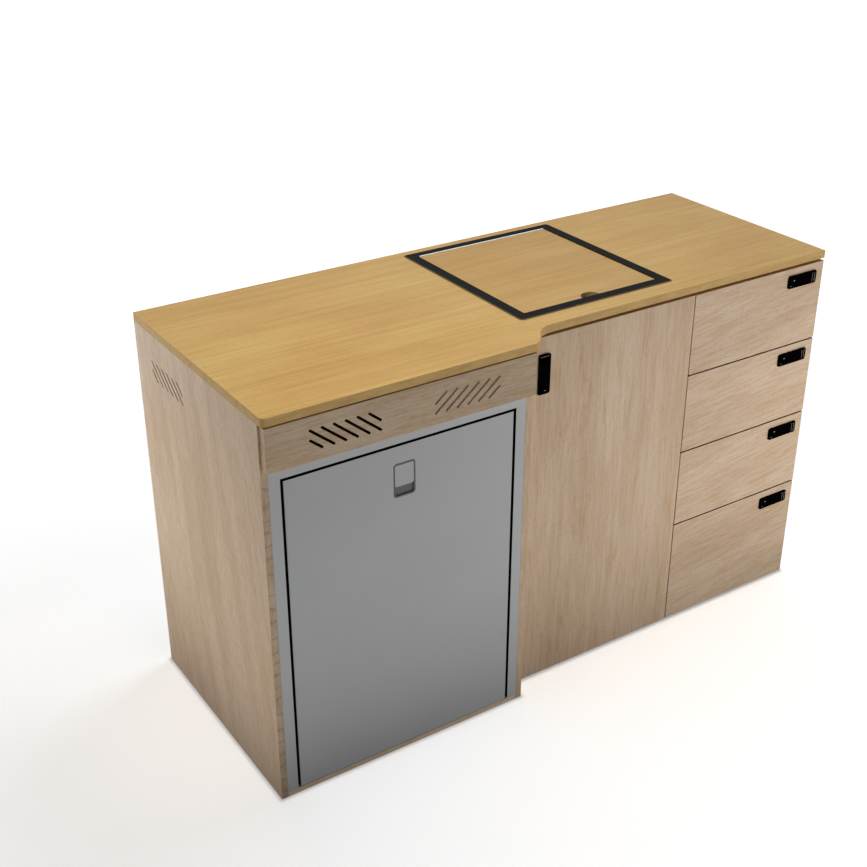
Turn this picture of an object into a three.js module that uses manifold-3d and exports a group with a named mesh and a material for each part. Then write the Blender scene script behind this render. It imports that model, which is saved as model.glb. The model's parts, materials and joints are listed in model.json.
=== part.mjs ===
// Campervan kitchen pod: fridge bay, cupboard with a lidded sink above it, and four drawers.
// Millimetres. +X runs along the pod, +Y towards its back, +Z up.
// The origin is on the floor, under the middle of the pod.

import * as THREE from 'three';
import { mergeVertices } from 'three/addons/utils/BufferGeometryUtils.js';
import Module from 'manifold-3d';

const wasm = await Module();
wasm.setup();

// Driving dimensions

// Overall
const podLength = 1513;
const podDepth = 595;
const podHeight = 900;
const boardThickness = 15;
const fitGap = 0.3;
const runGap = 0.5;
const overrun = 1;

// Worktop
const worktopThickness = 18;
const worktopShort = 3;
const worktopCorner = 10;
const stepRun = 49;
const stepDepth = 63;
const stepOuterRadius = 28;
const stepInnerRadius = 57;

// Fridge bay
const fridgeBayWidth = 620;
const bayPanelSetback = 19;
const fridgeBaseThickness = 12;
const fasciaThickness = 18;
const fasciaInset = 4.5;
const fasciaTopGap = 3.5;
const fasciaHeight = 93;

// Vent groups: slanted slots clipped to a rectangle
const ventSlot = 5.4;
const ventPitch = 25.3;
const ventHeight = 46;
const ventRun = 49.5;
const ventLines = 5;
const fasciaVentInset = 89.5;
const fasciaVentDrop = 25.3;
const sideVentSlot = 4;
const sideVentHeight = 44;
const sideVentBackInset = 80.7;
const sideVentDrop = 83;

// Fronts of the cupboard and the drawers
const frontThickness = 15;
const frontSetback = 2.7;
const bumperGap = 4;
const frontGap = 3;
const frontTopGap = 8;
const frontFloorGap = 3;
const drawerWidthShare = 0.45577;
const drawerHeightShare = 0.2256;
const drawerCount = 4;

// Rails of the carcass
const frontRailDepth = 45;
const backRailHeight = 100;
const fridgeRailHeight = 80;

// Paddle latch of the cupboard door and the drawers
const latchLength = 92;
const latchHeight = 31;
const latchCorner = 5;
const latchProud = 3.5;
const latchBorder = 3;
const latchEndBorder = 2.5;
const latchOpeningCorner = 1.2;
const latchWall = 1.6;
const latchCollar = 12.2;
const latchFloor = 1.2;
const latchFingerGap = 14;
const latchPivotInset = 4;
const latchPivotRadius = 1.2;
const latchPivotReach = 1;
const latchHeel = 3.3;
const latchTip = 2.5;
const latchDimpleRadius = 8.5;
const latchDimpleDepth = 1.3;
const latchDimpleInset = 18.5;
const latchTopMargin = 18;
const latchSideMargin = 24;
const doorLatchTopMargin = 39;
const doorLatchSideMargin = 46;

// Drawer boxes and their runners
const drawerBackClear = 49;
const drawerBoxWall = 12;
const drawerBoxFloor = 6;
const drawerBoxLift = 22;
const drawerBoxShort = 70;
const slideSpace = 12.7;
const runnerHeight = 40;
const runnerDepth = 9;
const runnerSheet = 1.2;
const runnerLip = 9;
const runnerShort = 10;
const runnerLift = 42;
const railHead = 3.6;
const railNeck = 18;

// Cup hinges of the cupboard door
const cupRadius = 17.5;
const cupDepth = 12.4;
const cupWall = 0.8;
const cupEdge = 3;
const cupFlange = 1;
const cupFlangeHalf = 14;
const cupFlangeReach = 26;
const cupPinInset = 8;
const cupPinDepth = 6.2;
const cupPinRadius = 1;
const armWidth = 11;
const armEye = 2.5;
const armNeck = 3.4;
const armSweep = 12.4;
const armBar = 6;
const armStrip = 3;
const armLength = 60;
const armPlate = 2;
const armPlateHeight = 44;
const armPlateLength = 30;
const hingeInset = 100;

// Sink frame, lid and bowl
const sinkWidthShare = 0.8604;
const sinkOffset = 2.5;
const sinkFrontMargin = 51;
const sinkBackMargin = 24.5;
const sinkBand = 24;
const sinkBackBand = 20.4;
const sinkProud = 2;
const sinkCorner = 6;
const sinkSleeve = 3;
const sinkOpeningCorner = 3;
const ledgeReach = 10;
const ledgeThickness = 3;
const lidThickness = 16;
const lidGap = 0.6;
const lidNotchRadius = 24;
const bowlFlange = 0.9;
const bowlWall = 1.2;
const bowlRimInset = 14;
const bowlDepth = 130;
const bowlDraft = 8;
const bowlFillet = 26;
const bowlCorner = 42;
const wasteHoleRadius = 22;
const wasteFlangeRadius = 30;
const wasteFlange = 2;
const wasteNutRadius = 28;
const wasteNut = 8;
const wasteTailRadius = 19;
const wasteBoreRadius = 16;
const wasteTail = 55;
const wasteBar = 3;

// Continuous hinge at the back of the sink lid
const barrelRadius = 1.6;
const barrelPin = 0.5;
const barrelLift = 0.6;
const leafThickness = 1;
const leafHeight = 12;
const leafInset = 2;
const knuckleCount = 13;

// Fridge
const flangeSide = 24;
const flangeSheet = 3;
const flangeReturn = 2;
const flangeTopHide = 9;
const flangeBand = 28;
const doorGap = 6;
const fridgeDoorThickness = 40;
const fridgeDoorFloorGap = 1.2;
const fridgeDoorEdge = 2;
const gasketThickness = 7.5;
const gasketWidth = 14;
const gasketInset = 14;
const gasketTopInset = 7.5;
const gasketFloorInset = 20;
const cabinetTopGap = 10.5;
const cabinetBackGap = 34.7;
const cabinetWall = 40;
const cabinetRoof = 50;
const cabinetFloor = 45;
const stepLength = 160;
const stepHeightShare = 0.29;
const shelfThickness = 4;
const shelfHeightShare = 0.49;
const shelfRib = 6;
const shelfLength = 250;
const pinRadius = 3;
const pinInset = 12;
const pinDepth = 10;
const pinReach = 24;
const pinHeadRadius = 5;
const pinHead = 3;
const pinBaseReach = 9;
const compressorRadius = 62;
const compressorClear = 56;
const compressorInset = 110;
const compressorPlate = 3;
const compressorPlateLength = 150;
const potRadiusShares = [0, 0.55, 0.86, 0.97, 0.97, 0.84, 0.5, 0];
const potHeightShares = [1, 0.97, 0.87, 0.72, 0.32, 0.1, 0, 0];
const condenserWidthShare = 0.385;
const condenserClear = 50;
const condenserDepth = 90;
const condenserMargin = 5.4;
const finCount = 10;
const finThickness = 1.5;
const condenserTube = 4;

// Fridge door latch
const dishWidth = 50.5;
const dishHeight = 76;
const dishDrop = 38;
const dishDepth = 19;
const dishWall = 3;
const dishFloor = 2;
const dishCorner = 7;
const padHeight = 48;
const padThickness = 7;
const padCorner = 4.5;
const padPivotInset = 3.5;
const padPivotDepth = 1.9;
const padPivotRadius = 1.2;
const padPivotReach = 1.3;

// Places worked out from them

const worktopUnder = podHeight - worktopThickness;
const carcassTop = worktopUnder - fitGap;
const frontPlane = stepDepth + frontSetback;
const carcassFront = frontPlane + frontThickness + bumperGap;
const frontsTop = worktopUnder - frontTopGap;
const drawerFrontWidth = (podLength - fridgeBayWidth) * drawerWidthShare;
const drawerFrontHeight = (frontsTop - frontFloorGap) * drawerHeightShare;
const drawerLeft = podLength - drawerFrontWidth;
const doorRight = drawerLeft - frontGap;
const doorLeft = fridgeBayWidth + frontGap;
const doorWidth = doorRight - doorLeft;
const doorHeight = frontsTop - frontFloorGap;
const drawerDividerLeft = drawerLeft - frontGap / 2 - boardThickness / 2;
const drawerDividerRight = drawerDividerLeft + boardThickness;
const rightPanelOuter = podLength - worktopShort;
const rightPanelInner = rightPanelOuter - boardThickness;
const mainLeft = fridgeBayWidth + fitGap;
const mainRight = rightPanelInner - fitGap;
const bayLeft = boardThickness + fitGap;
const bayRight = fridgeBayWidth - boardThickness - fitGap;
const backRailFront = podDepth - boardThickness;

// Materials

function finish(colour, roughness, metalness) {
  return new THREE.MeshStandardMaterial({ color: colour, roughness, metalness });
}

const bamboo = finish(0xcdaa6e, 0.45, 0);
const oak = finish(0xb9a58c, 0.6, 0);
const birch = finish(0xd8c49c, 0.6, 0);
const blackPlastic = finish(0x0a0a0a, 0.25, 0);
const frameBlack = finish(0x262626, 0.5, 0);
const steel = finish(0xc8c8c8, 0.3, 1);
const zinc = finish(0xb0b4b8, 0.4, 1);
const fridgeGrey = finish(0x8f918f, 0.5, 0);
const latchGrey = finish(0x4e4e4e, 0.5, 0);
const fridgeWhite = finish(0xe8e8e6, 0.5, 0);
const rubber = finish(0x3a3a3a, 0.8, 0);
const glass = finish(0xd5e6e2, 0.1, 0);

// Solids

// Six times the volume inside a triangle mesh, negative where its faces look inwards
function signedVolume(points, corners) {
  let total = 0;
  for (let face = 0; face < corners.length; face += 3) {
    const [a, b, c] = [0, 1, 2].map((side) => {
      const corner = corners[face + side] * 3;
      return new THREE.Vector3().fromArray(points, corner);
    });
    total += a.dot(b.cross(c));
  }
  return total;
}

function toSolid(geometry) {
  const bare = geometry.clone();
  bare.deleteAttribute('normal');
  bare.deleteAttribute('uv');
  const merged = mergeVertices(bare, 1e-4);
  const points = new Float32Array(merged.attributes.position.array);
  const corners = new Uint32Array(merged.index.array);
  if (signedVolume(points, corners) < 0) {
    corners.reverse();
  }
  return new wasm.Manifold(new wasm.Mesh({ numProp: 3, vertProperties: points, triVerts: corners }));
}

function toGeometry(solid) {
  const mesh = solid.getMesh();
  const geometry = new THREE.BufferGeometry();
  geometry.setAttribute('position', new THREE.BufferAttribute(mesh.vertProperties, 3));
  geometry.setIndex(new THREE.BufferAttribute(mesh.triVerts, 1));
  return geometry;
}

function join(geometries) {
  return toGeometry(geometries.map(toSolid).reduce((whole, next) => whole.add(next)));
}

function cut(geometry, tools) {
  return toGeometry(tools.map(toSolid).reduce((whole, tool) => whole.subtract(tool), toSolid(geometry)));
}

function block(x0, x1, y0, y1, z0, z1) {
  const geometry = new THREE.BoxGeometry(x1 - x0, y1 - y0, z1 - z0);
  return geometry.translate((x0 + x1) / 2, (y0 + y1) / 2, (z0 + z1) / 2);
}

// An outline in X and Y, raised from z0 to z1
function raise(shape, z0, z1, curveSegments = 3) {
  const geometry = new THREE.ExtrudeGeometry(shape, { depth: z1 - z0, bevelEnabled: false, curveSegments });
  return geometry.translate(0, 0, z0);
}

// An outline in X and Z, carried back from y0 to y1
function carryBack(shape, y0, y1, curveSegments = 3) {
  const geometry = new THREE.ExtrudeGeometry(shape, { depth: y1 - y0, bevelEnabled: false, curveSegments });
  return geometry.rotateX(Math.PI / 2).translate(0, y1, 0);
}

// An outline in Y and Z, carried along from x0 to x1
function carryAlong(shape, x0, x1, curveSegments = 3) {
  const geometry = new THREE.ExtrudeGeometry(shape, { depth: x1 - x0, bevelEnabled: false, curveSegments });
  return geometry.rotateX(Math.PI / 2).rotateZ(Math.PI / 2).translate(x0, 0, 0);
}

function outline(points) {
  return new THREE.Shape(points.map(([u, v]) => new THREE.Vector2(u, v)));
}

function roundedRectangle(u0, u1, v0, v1, radius) {
  const shape = new THREE.Shape();
  shape.moveTo(u0 + radius, v0);
  shape.lineTo(u1 - radius, v0);
  shape.absarc(u1 - radius, v0 + radius, radius, -Math.PI / 2, 0);
  shape.lineTo(u1, v1 - radius);
  shape.absarc(u1 - radius, v1 - radius, radius, 0, Math.PI / 2);
  shape.lineTo(u0 + radius, v1);
  shape.absarc(u0 + radius, v1 - radius, radius, Math.PI / 2, Math.PI);
  shape.lineTo(u0, v0 + radius);
  shape.absarc(u0 + radius, v0 + radius, radius, Math.PI, Math.PI * 1.5);
  return shape;
}

function uprightRod(x, y, z0, z1, radius, sides = 16) {
  const geometry = new THREE.CylinderGeometry(radius, radius, z1 - z0, sides);
  return geometry.rotateX(Math.PI / 2).translate(x, y, (z0 + z1) / 2);
}

function rodAlong(x0, x1, y, z, radius, sides = 12) {
  const geometry = new THREE.CylinderGeometry(radius, radius, x1 - x0, sides);
  return geometry.rotateZ(Math.PI / 2).translate((x0 + x1) / 2, y, z);
}

function piece(name, geometry, material) {
  const mesh = new THREE.Mesh(geometry, material);
  mesh.name = name;
  return mesh;
}

// Vent slots

const ventSpan = ventPitch * (ventLines - 1) + ventRun;

// Slots of one group, as upright outlines from (0, 0), leaning the way that lean says
function ventSlots(lean, slot, height) {
  const radius = slot / 2;
  const inner = height - slot;
  const slope = inner / ventRun;
  const slots = [];
  for (let line = -1; line <= ventLines; line += 1) {
    const start = line * ventPitch;
    const u0 = Math.max(start, 0);
    const u1 = Math.min(start + ventRun, ventSpan);
    const ends = [u0, u1].map((u) => [lean > 0 ? u : ventSpan - u, (u - start) * slope]);
    slots.push(slotOutline(ends[0], ends[1], radius));
  }
  return slots;
}

function slotOutline(from, to, radius) {
  const angle = Math.atan2(to[1] - from[1], to[0] - from[0]);
  const shape = new THREE.Shape();
  shape.absarc(to[0], to[1], radius, angle - Math.PI / 2, angle + Math.PI / 2);
  shape.absarc(from[0], from[1], radius, angle + Math.PI / 2, angle + Math.PI * 1.5);
  return shape;
}

// Carcass

function leftEndPanel() {
  const panel = block(0, boardThickness, bayPanelSetback, podDepth, 0, carcassTop);
  const bottom = worktopUnder - sideVentDrop - sideVentHeight / 2 + sideVentSlot / 2;
  const start = podDepth - sideVentBackInset - ventSpan - sideVentSlot / 2;
  const slots = ventSlots(1, sideVentSlot, sideVentHeight)
    .map((slot) => carryAlong(slot, -overrun, boardThickness + overrun).translate(0, start, bottom));
  return cut(panel, slots);
}

function fridgeBase() {
  const board = block(bayLeft, bayRight, bayPanelSetback, podDepth, 0, fridgeBaseThickness);
  const hole = uprightRod(
    pinX, pinY, lowerPinBottom - fitGap, fridgeBaseThickness + overrun, pinRadius + fitGap);
  return cut(board, [hole]);
}

function drawerDivider() {
  const bottom = boardThickness + fitGap;
  const notchBack = carcassFront + frontRailDepth + fitGap;
  const notchFloor = carcassTop - boardThickness - fitGap;
  const back = backRailFront - fitGap;
  const side = outline([
    [carcassFront, bottom],
    [back, bottom],
    [back, carcassTop],
    [notchBack, carcassTop],
    [notchBack, notchFloor],
    [carcassFront, notchFloor],
  ]);
  return carryAlong(side, drawerDividerLeft, drawerDividerRight);
}

function fridgeFascia() {
  const top = worktopUnder - fasciaTopGap;
  const left = fasciaInset;
  const right = fridgeBayWidth - fasciaInset;
  const back = bayPanelSetback - fitGap;
  const board = block(left, right, back - fasciaThickness, back, top - fasciaHeight, top);
  const low = top - fasciaVentDrop - ventHeight + ventSlot / 2;
  const inset = fasciaVentInset + ventSlot / 2;
  const places = [[-1, left + inset], [1, right - inset - ventSpan]];
  const face = back - fasciaThickness;
  const slots = places.flatMap(([lean, start]) => ventSlots(lean, ventSlot, ventHeight)
    .map((slot) => carryBack(slot, face - overrun, back + overrun).translate(start, 0, low)));
  return cut(board, slots);
}

function worktopOutline() {
  const right = podLength - worktopShort;
  const angle = Math.atan2(stepDepth, stepRun);
  const outerRun = stepOuterRadius * Math.tan(angle / 2);
  const innerRun = stepInnerRadius * Math.tan(angle / 2);
  const shape = new THREE.Shape();
  shape.moveTo(worktopCorner, 0);
  shape.absarc(
    fridgeBayWidth - outerRun, stepOuterRadius, stepOuterRadius, -Math.PI / 2, angle - Math.PI / 2);
  shape.absarc(
    fridgeBayWidth + stepRun + innerRun,
    stepDepth - stepInnerRadius,
    stepInnerRadius,
    Math.PI / 2 + angle,
    Math.PI / 2,
    true,
  );
  shape.lineTo(right, stepDepth);
  shape.lineTo(right, podDepth);
  shape.lineTo(0, podDepth);
  shape.absarc(worktopCorner, worktopCorner, worktopCorner, Math.PI, Math.PI * 1.5);
  return shape;
}

function worktop() {
  const board = raise(worktopOutline(), worktopUnder, podHeight, 6);
  const grow = sinkSleeve + fitGap;
  const hole = roundedRectangle(
    openingLeft - grow,
    openingRight + grow,
    openingFront - grow,
    openingBack + grow,
    sinkOpeningCorner + grow,
  );
  return cut(board, [raise(hole, worktopUnder - overrun, podHeight + overrun)]);
}

function carcass() {
  const group = new THREE.Group();
  const mainBack = podDepth;
  const railFloor = boardThickness + fitGap;
  const frontRailBack = carcassFront + frontRailDepth;
  group.add(
    piece('left_end_panel', leftEndPanel(), oak),
    piece('fridge_divider', block(
      fridgeBayWidth - boardThickness, fridgeBayWidth, bayPanelSetback, podDepth, 0, carcassTop), oak),
    piece('drawer_divider', drawerDivider(), oak),
    piece('right_end_panel', block(
      rightPanelInner, rightPanelOuter, carcassFront, podDepth, 0, carcassTop), oak),
    piece('fridge_base', fridgeBase(), oak),
    piece('main_base', block(mainLeft, mainRight, carcassFront, mainBack, 0, boardThickness), oak),
    piece('front_rail', block(
      mainLeft, mainRight, carcassFront, frontRailBack, carcassTop - boardThickness, carcassTop), oak),
    piece('back_rail_upper', block(
      mainLeft, mainRight, backRailFront, podDepth, carcassTop - backRailHeight, carcassTop), oak),
    piece('back_rail_lower', block(
      mainLeft, mainRight, backRailFront, podDepth, railFloor, railFloor + backRailHeight), oak),
    piece('fridge_back_rail', block(
      bayLeft, bayRight, backRailFront, podDepth, carcassTop - fridgeRailHeight, carcassTop), oak),
    piece('fridge_fascia', fridgeFascia(), oak),
    piece('worktop', worktop(), bamboo),
  );
  return group;
}

// Sink

const sinkWidth = doorWidth * sinkWidthShare;
const sinkLeft = (doorLeft + doorRight) / 2 + sinkOffset - sinkWidth / 2;
const sinkFront = stepDepth + sinkFrontMargin;
const sinkDepth = podDepth - sinkBackMargin - sinkFront;
const openingLeft = sinkLeft + sinkBand;
const openingRight = sinkLeft + sinkWidth - sinkBand;
const openingFront = sinkFront + sinkBand;
const openingBack = sinkFront + sinkDepth - sinkBackBand;
const openingMiddle = (openingLeft + openingRight) / 2;
const lidUnder = podHeight - lidThickness;
const bowlRim = lidUnder - fitGap - bowlFlange;
const ledgeTop = bowlRim - fitGap;
const ledgeUnder = ledgeTop - ledgeThickness;

// The sink opening, grown by a margin
function openingOutline(grow, radius) {
  return roundedRectangle(
    openingLeft - grow, openingRight + grow, openingFront - grow, openingBack + grow, radius);
}

function sinkFrame() {
  const top = podHeight + sinkProud;
  const bandOutline = roundedRectangle(
    sinkLeft, sinkLeft + sinkWidth, sinkFront, sinkFront + sinkDepth, sinkCorner);
  const band = raise(bandOutline, podHeight + fitGap, top);
  const sleeve = raise(openingOutline(sinkSleeve, sinkOpeningCorner + sinkSleeve), ledgeUnder, top);
  const opening = raise(openingOutline(0, sinkOpeningCorner), ledgeTop, top + overrun);
  const throat = raise(openingOutline(-ledgeReach, sinkOpeningCorner), ledgeUnder - overrun, top);
  return cut(join([band, sleeve]), [opening, throat]);
}

function sinkLid() {
  const left = openingLeft + lidGap;
  const right = openingRight - lidGap;
  const front = openingFront + lidGap;
  const back = lidHingeY - barrelRadius - fitGap;
  const corner = sinkOpeningCorner;
  const shape = new THREE.Shape();
  shape.moveTo(left + corner, front);
  shape.absarc(openingMiddle, front, lidNotchRadius, Math.PI, 0, true);
  shape.absarc(right - corner, front + corner, corner, -Math.PI / 2, 0);
  shape.lineTo(right, back);
  shape.lineTo(left, back);
  shape.absarc(left + corner, front + corner, corner, Math.PI, Math.PI * 1.5);
  return raise(shape, lidUnder, podHeight, 8);
}

// One leaf of the continuous hinge: first is 0 for the fixed leaf, which holds the pin, or 1 for the lid's
function hingeLeaf(first) {
  const left = openingLeft + lidGap + leafInset;
  const length = openingRight - openingLeft - 2 * (lidGap + leafInset);
  const pitch = length / knuckleCount;
  const side = first === 0 ? 1 : -1;
  const outer = lidHingeY + side * barrelRadius;
  const inner = outer - side * leafThickness;
  const y0 = Math.min(outer, inner);
  const y1 = Math.max(outer, inner);
  const leafTop = lidHingeZ - barrelRadius - fitGap;
  const solids = [block(left, left + length, y0, y1, leafTop - leafHeight, leafTop)];
  for (let index = first; index < knuckleCount; index += 2) {
    const x0 = left + index * pitch + (index > 0 ? runGap / 2 : 0);
    const x1 = left + (index + 1) * pitch - (index < knuckleCount - 1 ? runGap / 2 : 0);
    solids.push(rodAlong(x0, x1, lidHingeY, lidHingeZ, barrelRadius));
    solids.push(block(x0, x1, y0, y1, leafTop - leafThickness, lidHingeZ));
  }
  if (first === 0) {
    const pin = rodAlong(left + overrun, left + length - overrun, lidHingeY, lidHingeZ, barrelPin, 8);
    return join([...solids, pin]);
  }
  const bore = rodAlong(left, left + length, lidHingeY, lidHingeZ, barrelPin + fitGap, 8);
  return cut(join(solids), [bore]);
}

const lidHingeY = openingBack - fitGap - barrelRadius;
const lidHingeZ = podHeight + barrelLift;

// A basin's solid: its walls lean in a little, then turn through a rounded corner into the floor
function basin(inset, corner, top, floor, fillet, steps) {
  const levels = [[top, inset]];
  for (let step = 0; step <= steps; step += 1) {
    const turn = (step / steps) * Math.PI / 2;
    levels.push([floor + fillet * (1 - Math.sin(turn)), inset + bowlDraft + fillet * (1 - Math.cos(turn))]);
  }
  return loft(levels.map(([height, margin]) => roundedRectangle(
    openingLeft + margin,
    openingRight - margin,
    openingFront + margin,
    openingBack - margin,
    corner,
  ).getPoints(3).map((point) => [point.x, point.y, height])));
}

// A closed solid through rings of equal length, from the top ring down
function loft(rings) {
  const clean = rings.map((ring) => ring.filter((point, index) => {
    const next = ring[(index + 1) % ring.length];
    return Math.hypot(point[0] - next[0], point[1] - next[1]) > 1e-3;
  }));
  const count = clean[0].length;
  const positions = clean.flat(2);
  const faces = [];
  for (let ring = 0; ring < clean.length - 1; ring += 1) {
    for (let index = 0; index < count; index += 1) {
      const a = ring * count + index;
      const b = ring * count + (index + 1) % count;
      faces.push(a, a + count, b, b, a + count, b + count);
    }
  }
  const last = (clean.length - 1) * count;
  for (let index = 1; index < count - 1; index += 1) {
    faces.push(0, index, index + 1);
    faces.push(last, last + index + 1, last + index);
  }
  const geometry = new THREE.BufferGeometry();
  geometry.setAttribute('position', new THREE.BufferAttribute(new Float32Array(positions), 3));
  geometry.setIndex(faces);
  return geometry;
}

const bowlFloor = bowlRim - bowlDepth;
const bowlMiddleY = (openingFront + openingBack) / 2;

function sinkBowl() {
  const flange = raise(openingOutline(-fitGap, sinkOpeningCorner), bowlRim, bowlRim + bowlFlange);
  const rimTop = bowlRim + bowlFlange;
  const outer = basin(bowlRimInset, bowlCorner, rimTop, bowlFloor, bowlFillet, 4);
  const inner = basin(
    bowlRimInset + bowlWall,
    bowlCorner - bowlWall,
    rimTop + overrun,
    bowlFloor + bowlWall,
    bowlFillet - bowlWall,
    4,
  );
  const hole = uprightRod(
    openingMiddle, bowlMiddleY, bowlFloor - overrun, bowlFloor + bowlWall + overrun, wasteHoleRadius, 24);
  return cut(join([flange, outer]), [inner, hole]);
}

function sinkWaste() {
  const seat = bowlFloor + bowlWall + fitGap;
  const nutTop = bowlFloor - fitGap;
  const tailEnd = nutTop - wasteNut - wasteTail;
  const neck = wasteHoleRadius - fitGap;
  const profile = [
    [wasteBoreRadius, tailEnd],
    [wasteTailRadius, tailEnd],
    [wasteTailRadius, nutTop - wasteNut],
    [wasteNutRadius, nutTop - wasteNut],
    [wasteNutRadius, nutTop],
    [neck, nutTop],
    [neck, seat],
    [wasteFlangeRadius, seat],
    [wasteFlangeRadius - wasteFlange, seat + wasteFlange],
    [wasteBoreRadius, seat + wasteFlange],
    [wasteBoreRadius, tailEnd],
  ].map(([radius, height]) => new THREE.Vector2(radius, height));
  const body = new THREE.LatheGeometry(profile, 24).rotateX(Math.PI / 2);
  const reach = wasteBoreRadius + overrun;
  const low = nutTop - wasteNut;
  const bars = [
    block(-reach, reach, -wasteBar / 2, wasteBar / 2, low, seat),
    block(-wasteBar / 2, wasteBar / 2, -reach, reach, low, seat),
  ];
  return join([body, ...bars]).translate(openingMiddle, bowlMiddleY, 0);
}

function sink() {
  const group = new THREE.Group();
  group.add(
    piece('sink_frame', sinkFrame(), frameBlack),
    piece('sink_bowl', sinkBowl(), steel),
    piece('sink_waste', sinkWaste(), steel),
    piece('sink_lid', sinkLid(), bamboo),
    piece('lid_hinge_fixed_leaf', hingeLeaf(0), steel),
    piece('lid_hinge_lid_leaf', hingeLeaf(1), steel),
  );
  return group;
}

// Fridge

const fasciaBottom = worktopUnder - fasciaTopGap - fasciaHeight;
const fridgeDoorTop = fasciaBottom - flangeBand - doorGap;
const cabinetTop = fasciaBottom - cabinetTopGap;
const fridgeDoorLeft = bayLeft + flangeSide + doorGap;
const fridgeDoorRight = bayRight - flangeSide - doorGap;
const fridgeDoorFloor = fridgeBaseThickness + fridgeDoorFloorGap;
const fridgeDoorBack = bayPanelSetback + fridgeDoorThickness;
const cabinetFront = fridgeDoorBack + fitGap + gasketThickness + runGap;
const cabinetLeft = bayLeft + flangeSide - flangeReturn;
const cabinetRight = bayRight - flangeSide + flangeReturn;
const cabinetUnder = fridgeBaseThickness + fitGap;
const cabinetBack = podDepth - cabinetBackGap;
const stepHeight = (cabinetTop - cabinetUnder) * stepHeightShare;
const compressorHeight = stepHeight - compressorClear;
const condenserHeight = stepHeight - condenserClear;
const condenserWidth = (cabinetRight - cabinetLeft) * condenserWidthShare;
const pinX = fridgeDoorLeft + pinInset;
const pinY = bayPanelSetback + pinDepth;
const lowerPinBottom = fridgeBaseThickness - pinBaseReach;
const returnTop = fridgeDoorTop + doorGap + flangeReturn;
const flangeTop = fasciaBottom + flangeTopHide;

// The flange's three sides as an outline in X and Z, open at the bottom
function archOutline(left, right, top, side, head) {
  const floor = fridgeBaseThickness + fitGap;
  return outline([
    [left, floor],
    [left + side, floor],
    [left + side, top - head],
    [right - side, top - head],
    [right - side, floor],
    [right, floor],
    [right, top],
    [left, top],
  ]);
}

function fridgeFlange() {
  const openingTop = fridgeDoorTop + doorGap;
  const face = archOutline(bayLeft, bayRight, flangeTop, flangeSide, flangeTop - openingTop);
  const sheet = carryBack(face, bayPanelSetback, bayPanelSetback + flangeSheet);
  const rim = archOutline(cabinetLeft, cabinetRight, returnTop, flangeReturn, flangeReturn);
  const returns = carryBack(rim, bayPanelSetback, cabinetFront - fitGap);
  const hole = uprightRod(pinX, pinY, openingTop - overrun, returnTop + overrun, pinRadius + fitGap);
  return cut(join([sheet, returns]), [hole]);
}

function fridgeCabinet() {
  const stepFront = cabinetBack - stepLength;
  const stepTop = cabinetUnder + stepHeight;
  const side = outline([
    [cabinetFront, cabinetUnder],
    [stepFront, cabinetUnder],
    [stepFront, stepTop],
    [cabinetBack, stepTop],
    [cabinetBack, cabinetTop],
    [cabinetFront, cabinetTop],
  ]);
  const floor = cabinetUnder + cabinetFloor;
  const roof = cabinetTop - cabinetRoof;
  const inside = outline([
    [cabinetFront - overrun, floor],
    [stepFront - cabinetWall, floor],
    [stepFront - cabinetWall, stepTop + cabinetWall],
    [cabinetBack - cabinetWall, stepTop + cabinetWall],
    [cabinetBack - cabinetWall, roof],
    [cabinetFront - overrun, roof],
  ]);
  const left = cabinetLeft + cabinetWall;
  const right = cabinetRight - cabinetWall;
  const shell = cut(carryAlong(side, cabinetLeft, cabinetRight), [carryAlong(inside, left, right)]);
  const ribs = [[left - overrun, left + shelfRib], [right - shelfRib, right + overrun]]
    .map(([x0, x1]) => block(
      x0, x1, shelfFront, shelfFront + shelfLength, shelfUnder - shelfRib, shelfUnder - fitGap));
  return join([shell, ...ribs]);
}

const shelfUnder = cabinetUnder + (cabinetTop - cabinetUnder) * shelfHeightShare;
const shelfFront = cabinetFront + shelfRib;

function fridgeShelf() {
  return block(
    cabinetLeft + cabinetWall + fitGap,
    cabinetRight - cabinetWall - fitGap,
    shelfFront,
    shelfFront + shelfLength,
    shelfUnder,
    shelfUnder + shelfThickness,
  );
}

function upperPin() {
  const top = returnTop + fitGap;
  const stem = uprightRod(pinX, pinY, fridgeDoorTop - pinReach, top + pinHead / 2, pinRadius);
  return join([stem, uprightRod(pinX, pinY, top, top + pinHead, pinHeadRadius)]);
}

function compressor() {
  const middleY = cabinetBack - stepLength / 2;
  const plateTop = cabinetUnder + compressorPlate;
  const half = compressorPlateLength / 2;
  const middleX = cabinetLeft + compressorInset;
  const plateOutline = roundedRectangle(-half, half, -compressorRadius, compressorRadius, latchCorner);
  const plate = raise(plateOutline, 0, compressorPlate);
  const rise = compressorHeight - compressorPlate / 2;
  const profile = potRadiusShares.map((share, index) => new THREE.Vector2(
    share * compressorRadius,
    compressorPlate / 2 + potHeightShares[index] * rise,
  )).reverse();
  const pot = new THREE.LatheGeometry(profile, 20).rotateX(Math.PI / 2);
  return join([plate, pot]).translate(middleX, middleY, plateTop - compressorPlate);
}

// Fins on two rows of tubes between two end plates
function condenser() {
  const left = cabinetRight - condenserMargin - condenserWidth;
  const front = cabinetBack - stepLength / 2 - condenserDepth / 2;
  const pitch = (condenserWidth - finThickness) / (finCount - 1);
  const top = cabinetUnder + condenserHeight;
  const solids = [];
  for (let fin = 0; fin < finCount; fin += 1) {
    const x0 = left + fin * pitch;
    const low = fin === 0 || fin === finCount - 1 ? cabinetUnder : cabinetUnder + condenserTube;
    solids.push(block(x0, x0 + finThickness, front, front + condenserDepth, low, top));
  }
  for (let row = 1; row <= 2; row += 1) {
    for (let column = 1; column <= 2; column += 1) {
      const y = front + column * condenserDepth / 3;
      const z = cabinetUnder + row * condenserHeight / 3;
      const right = left + condenserWidth;
      solids.push(rodAlong(left - condenserTube, right + condenserTube, y, z, condenserTube, 6));
    }
  }
  return join(solids);
}

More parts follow.
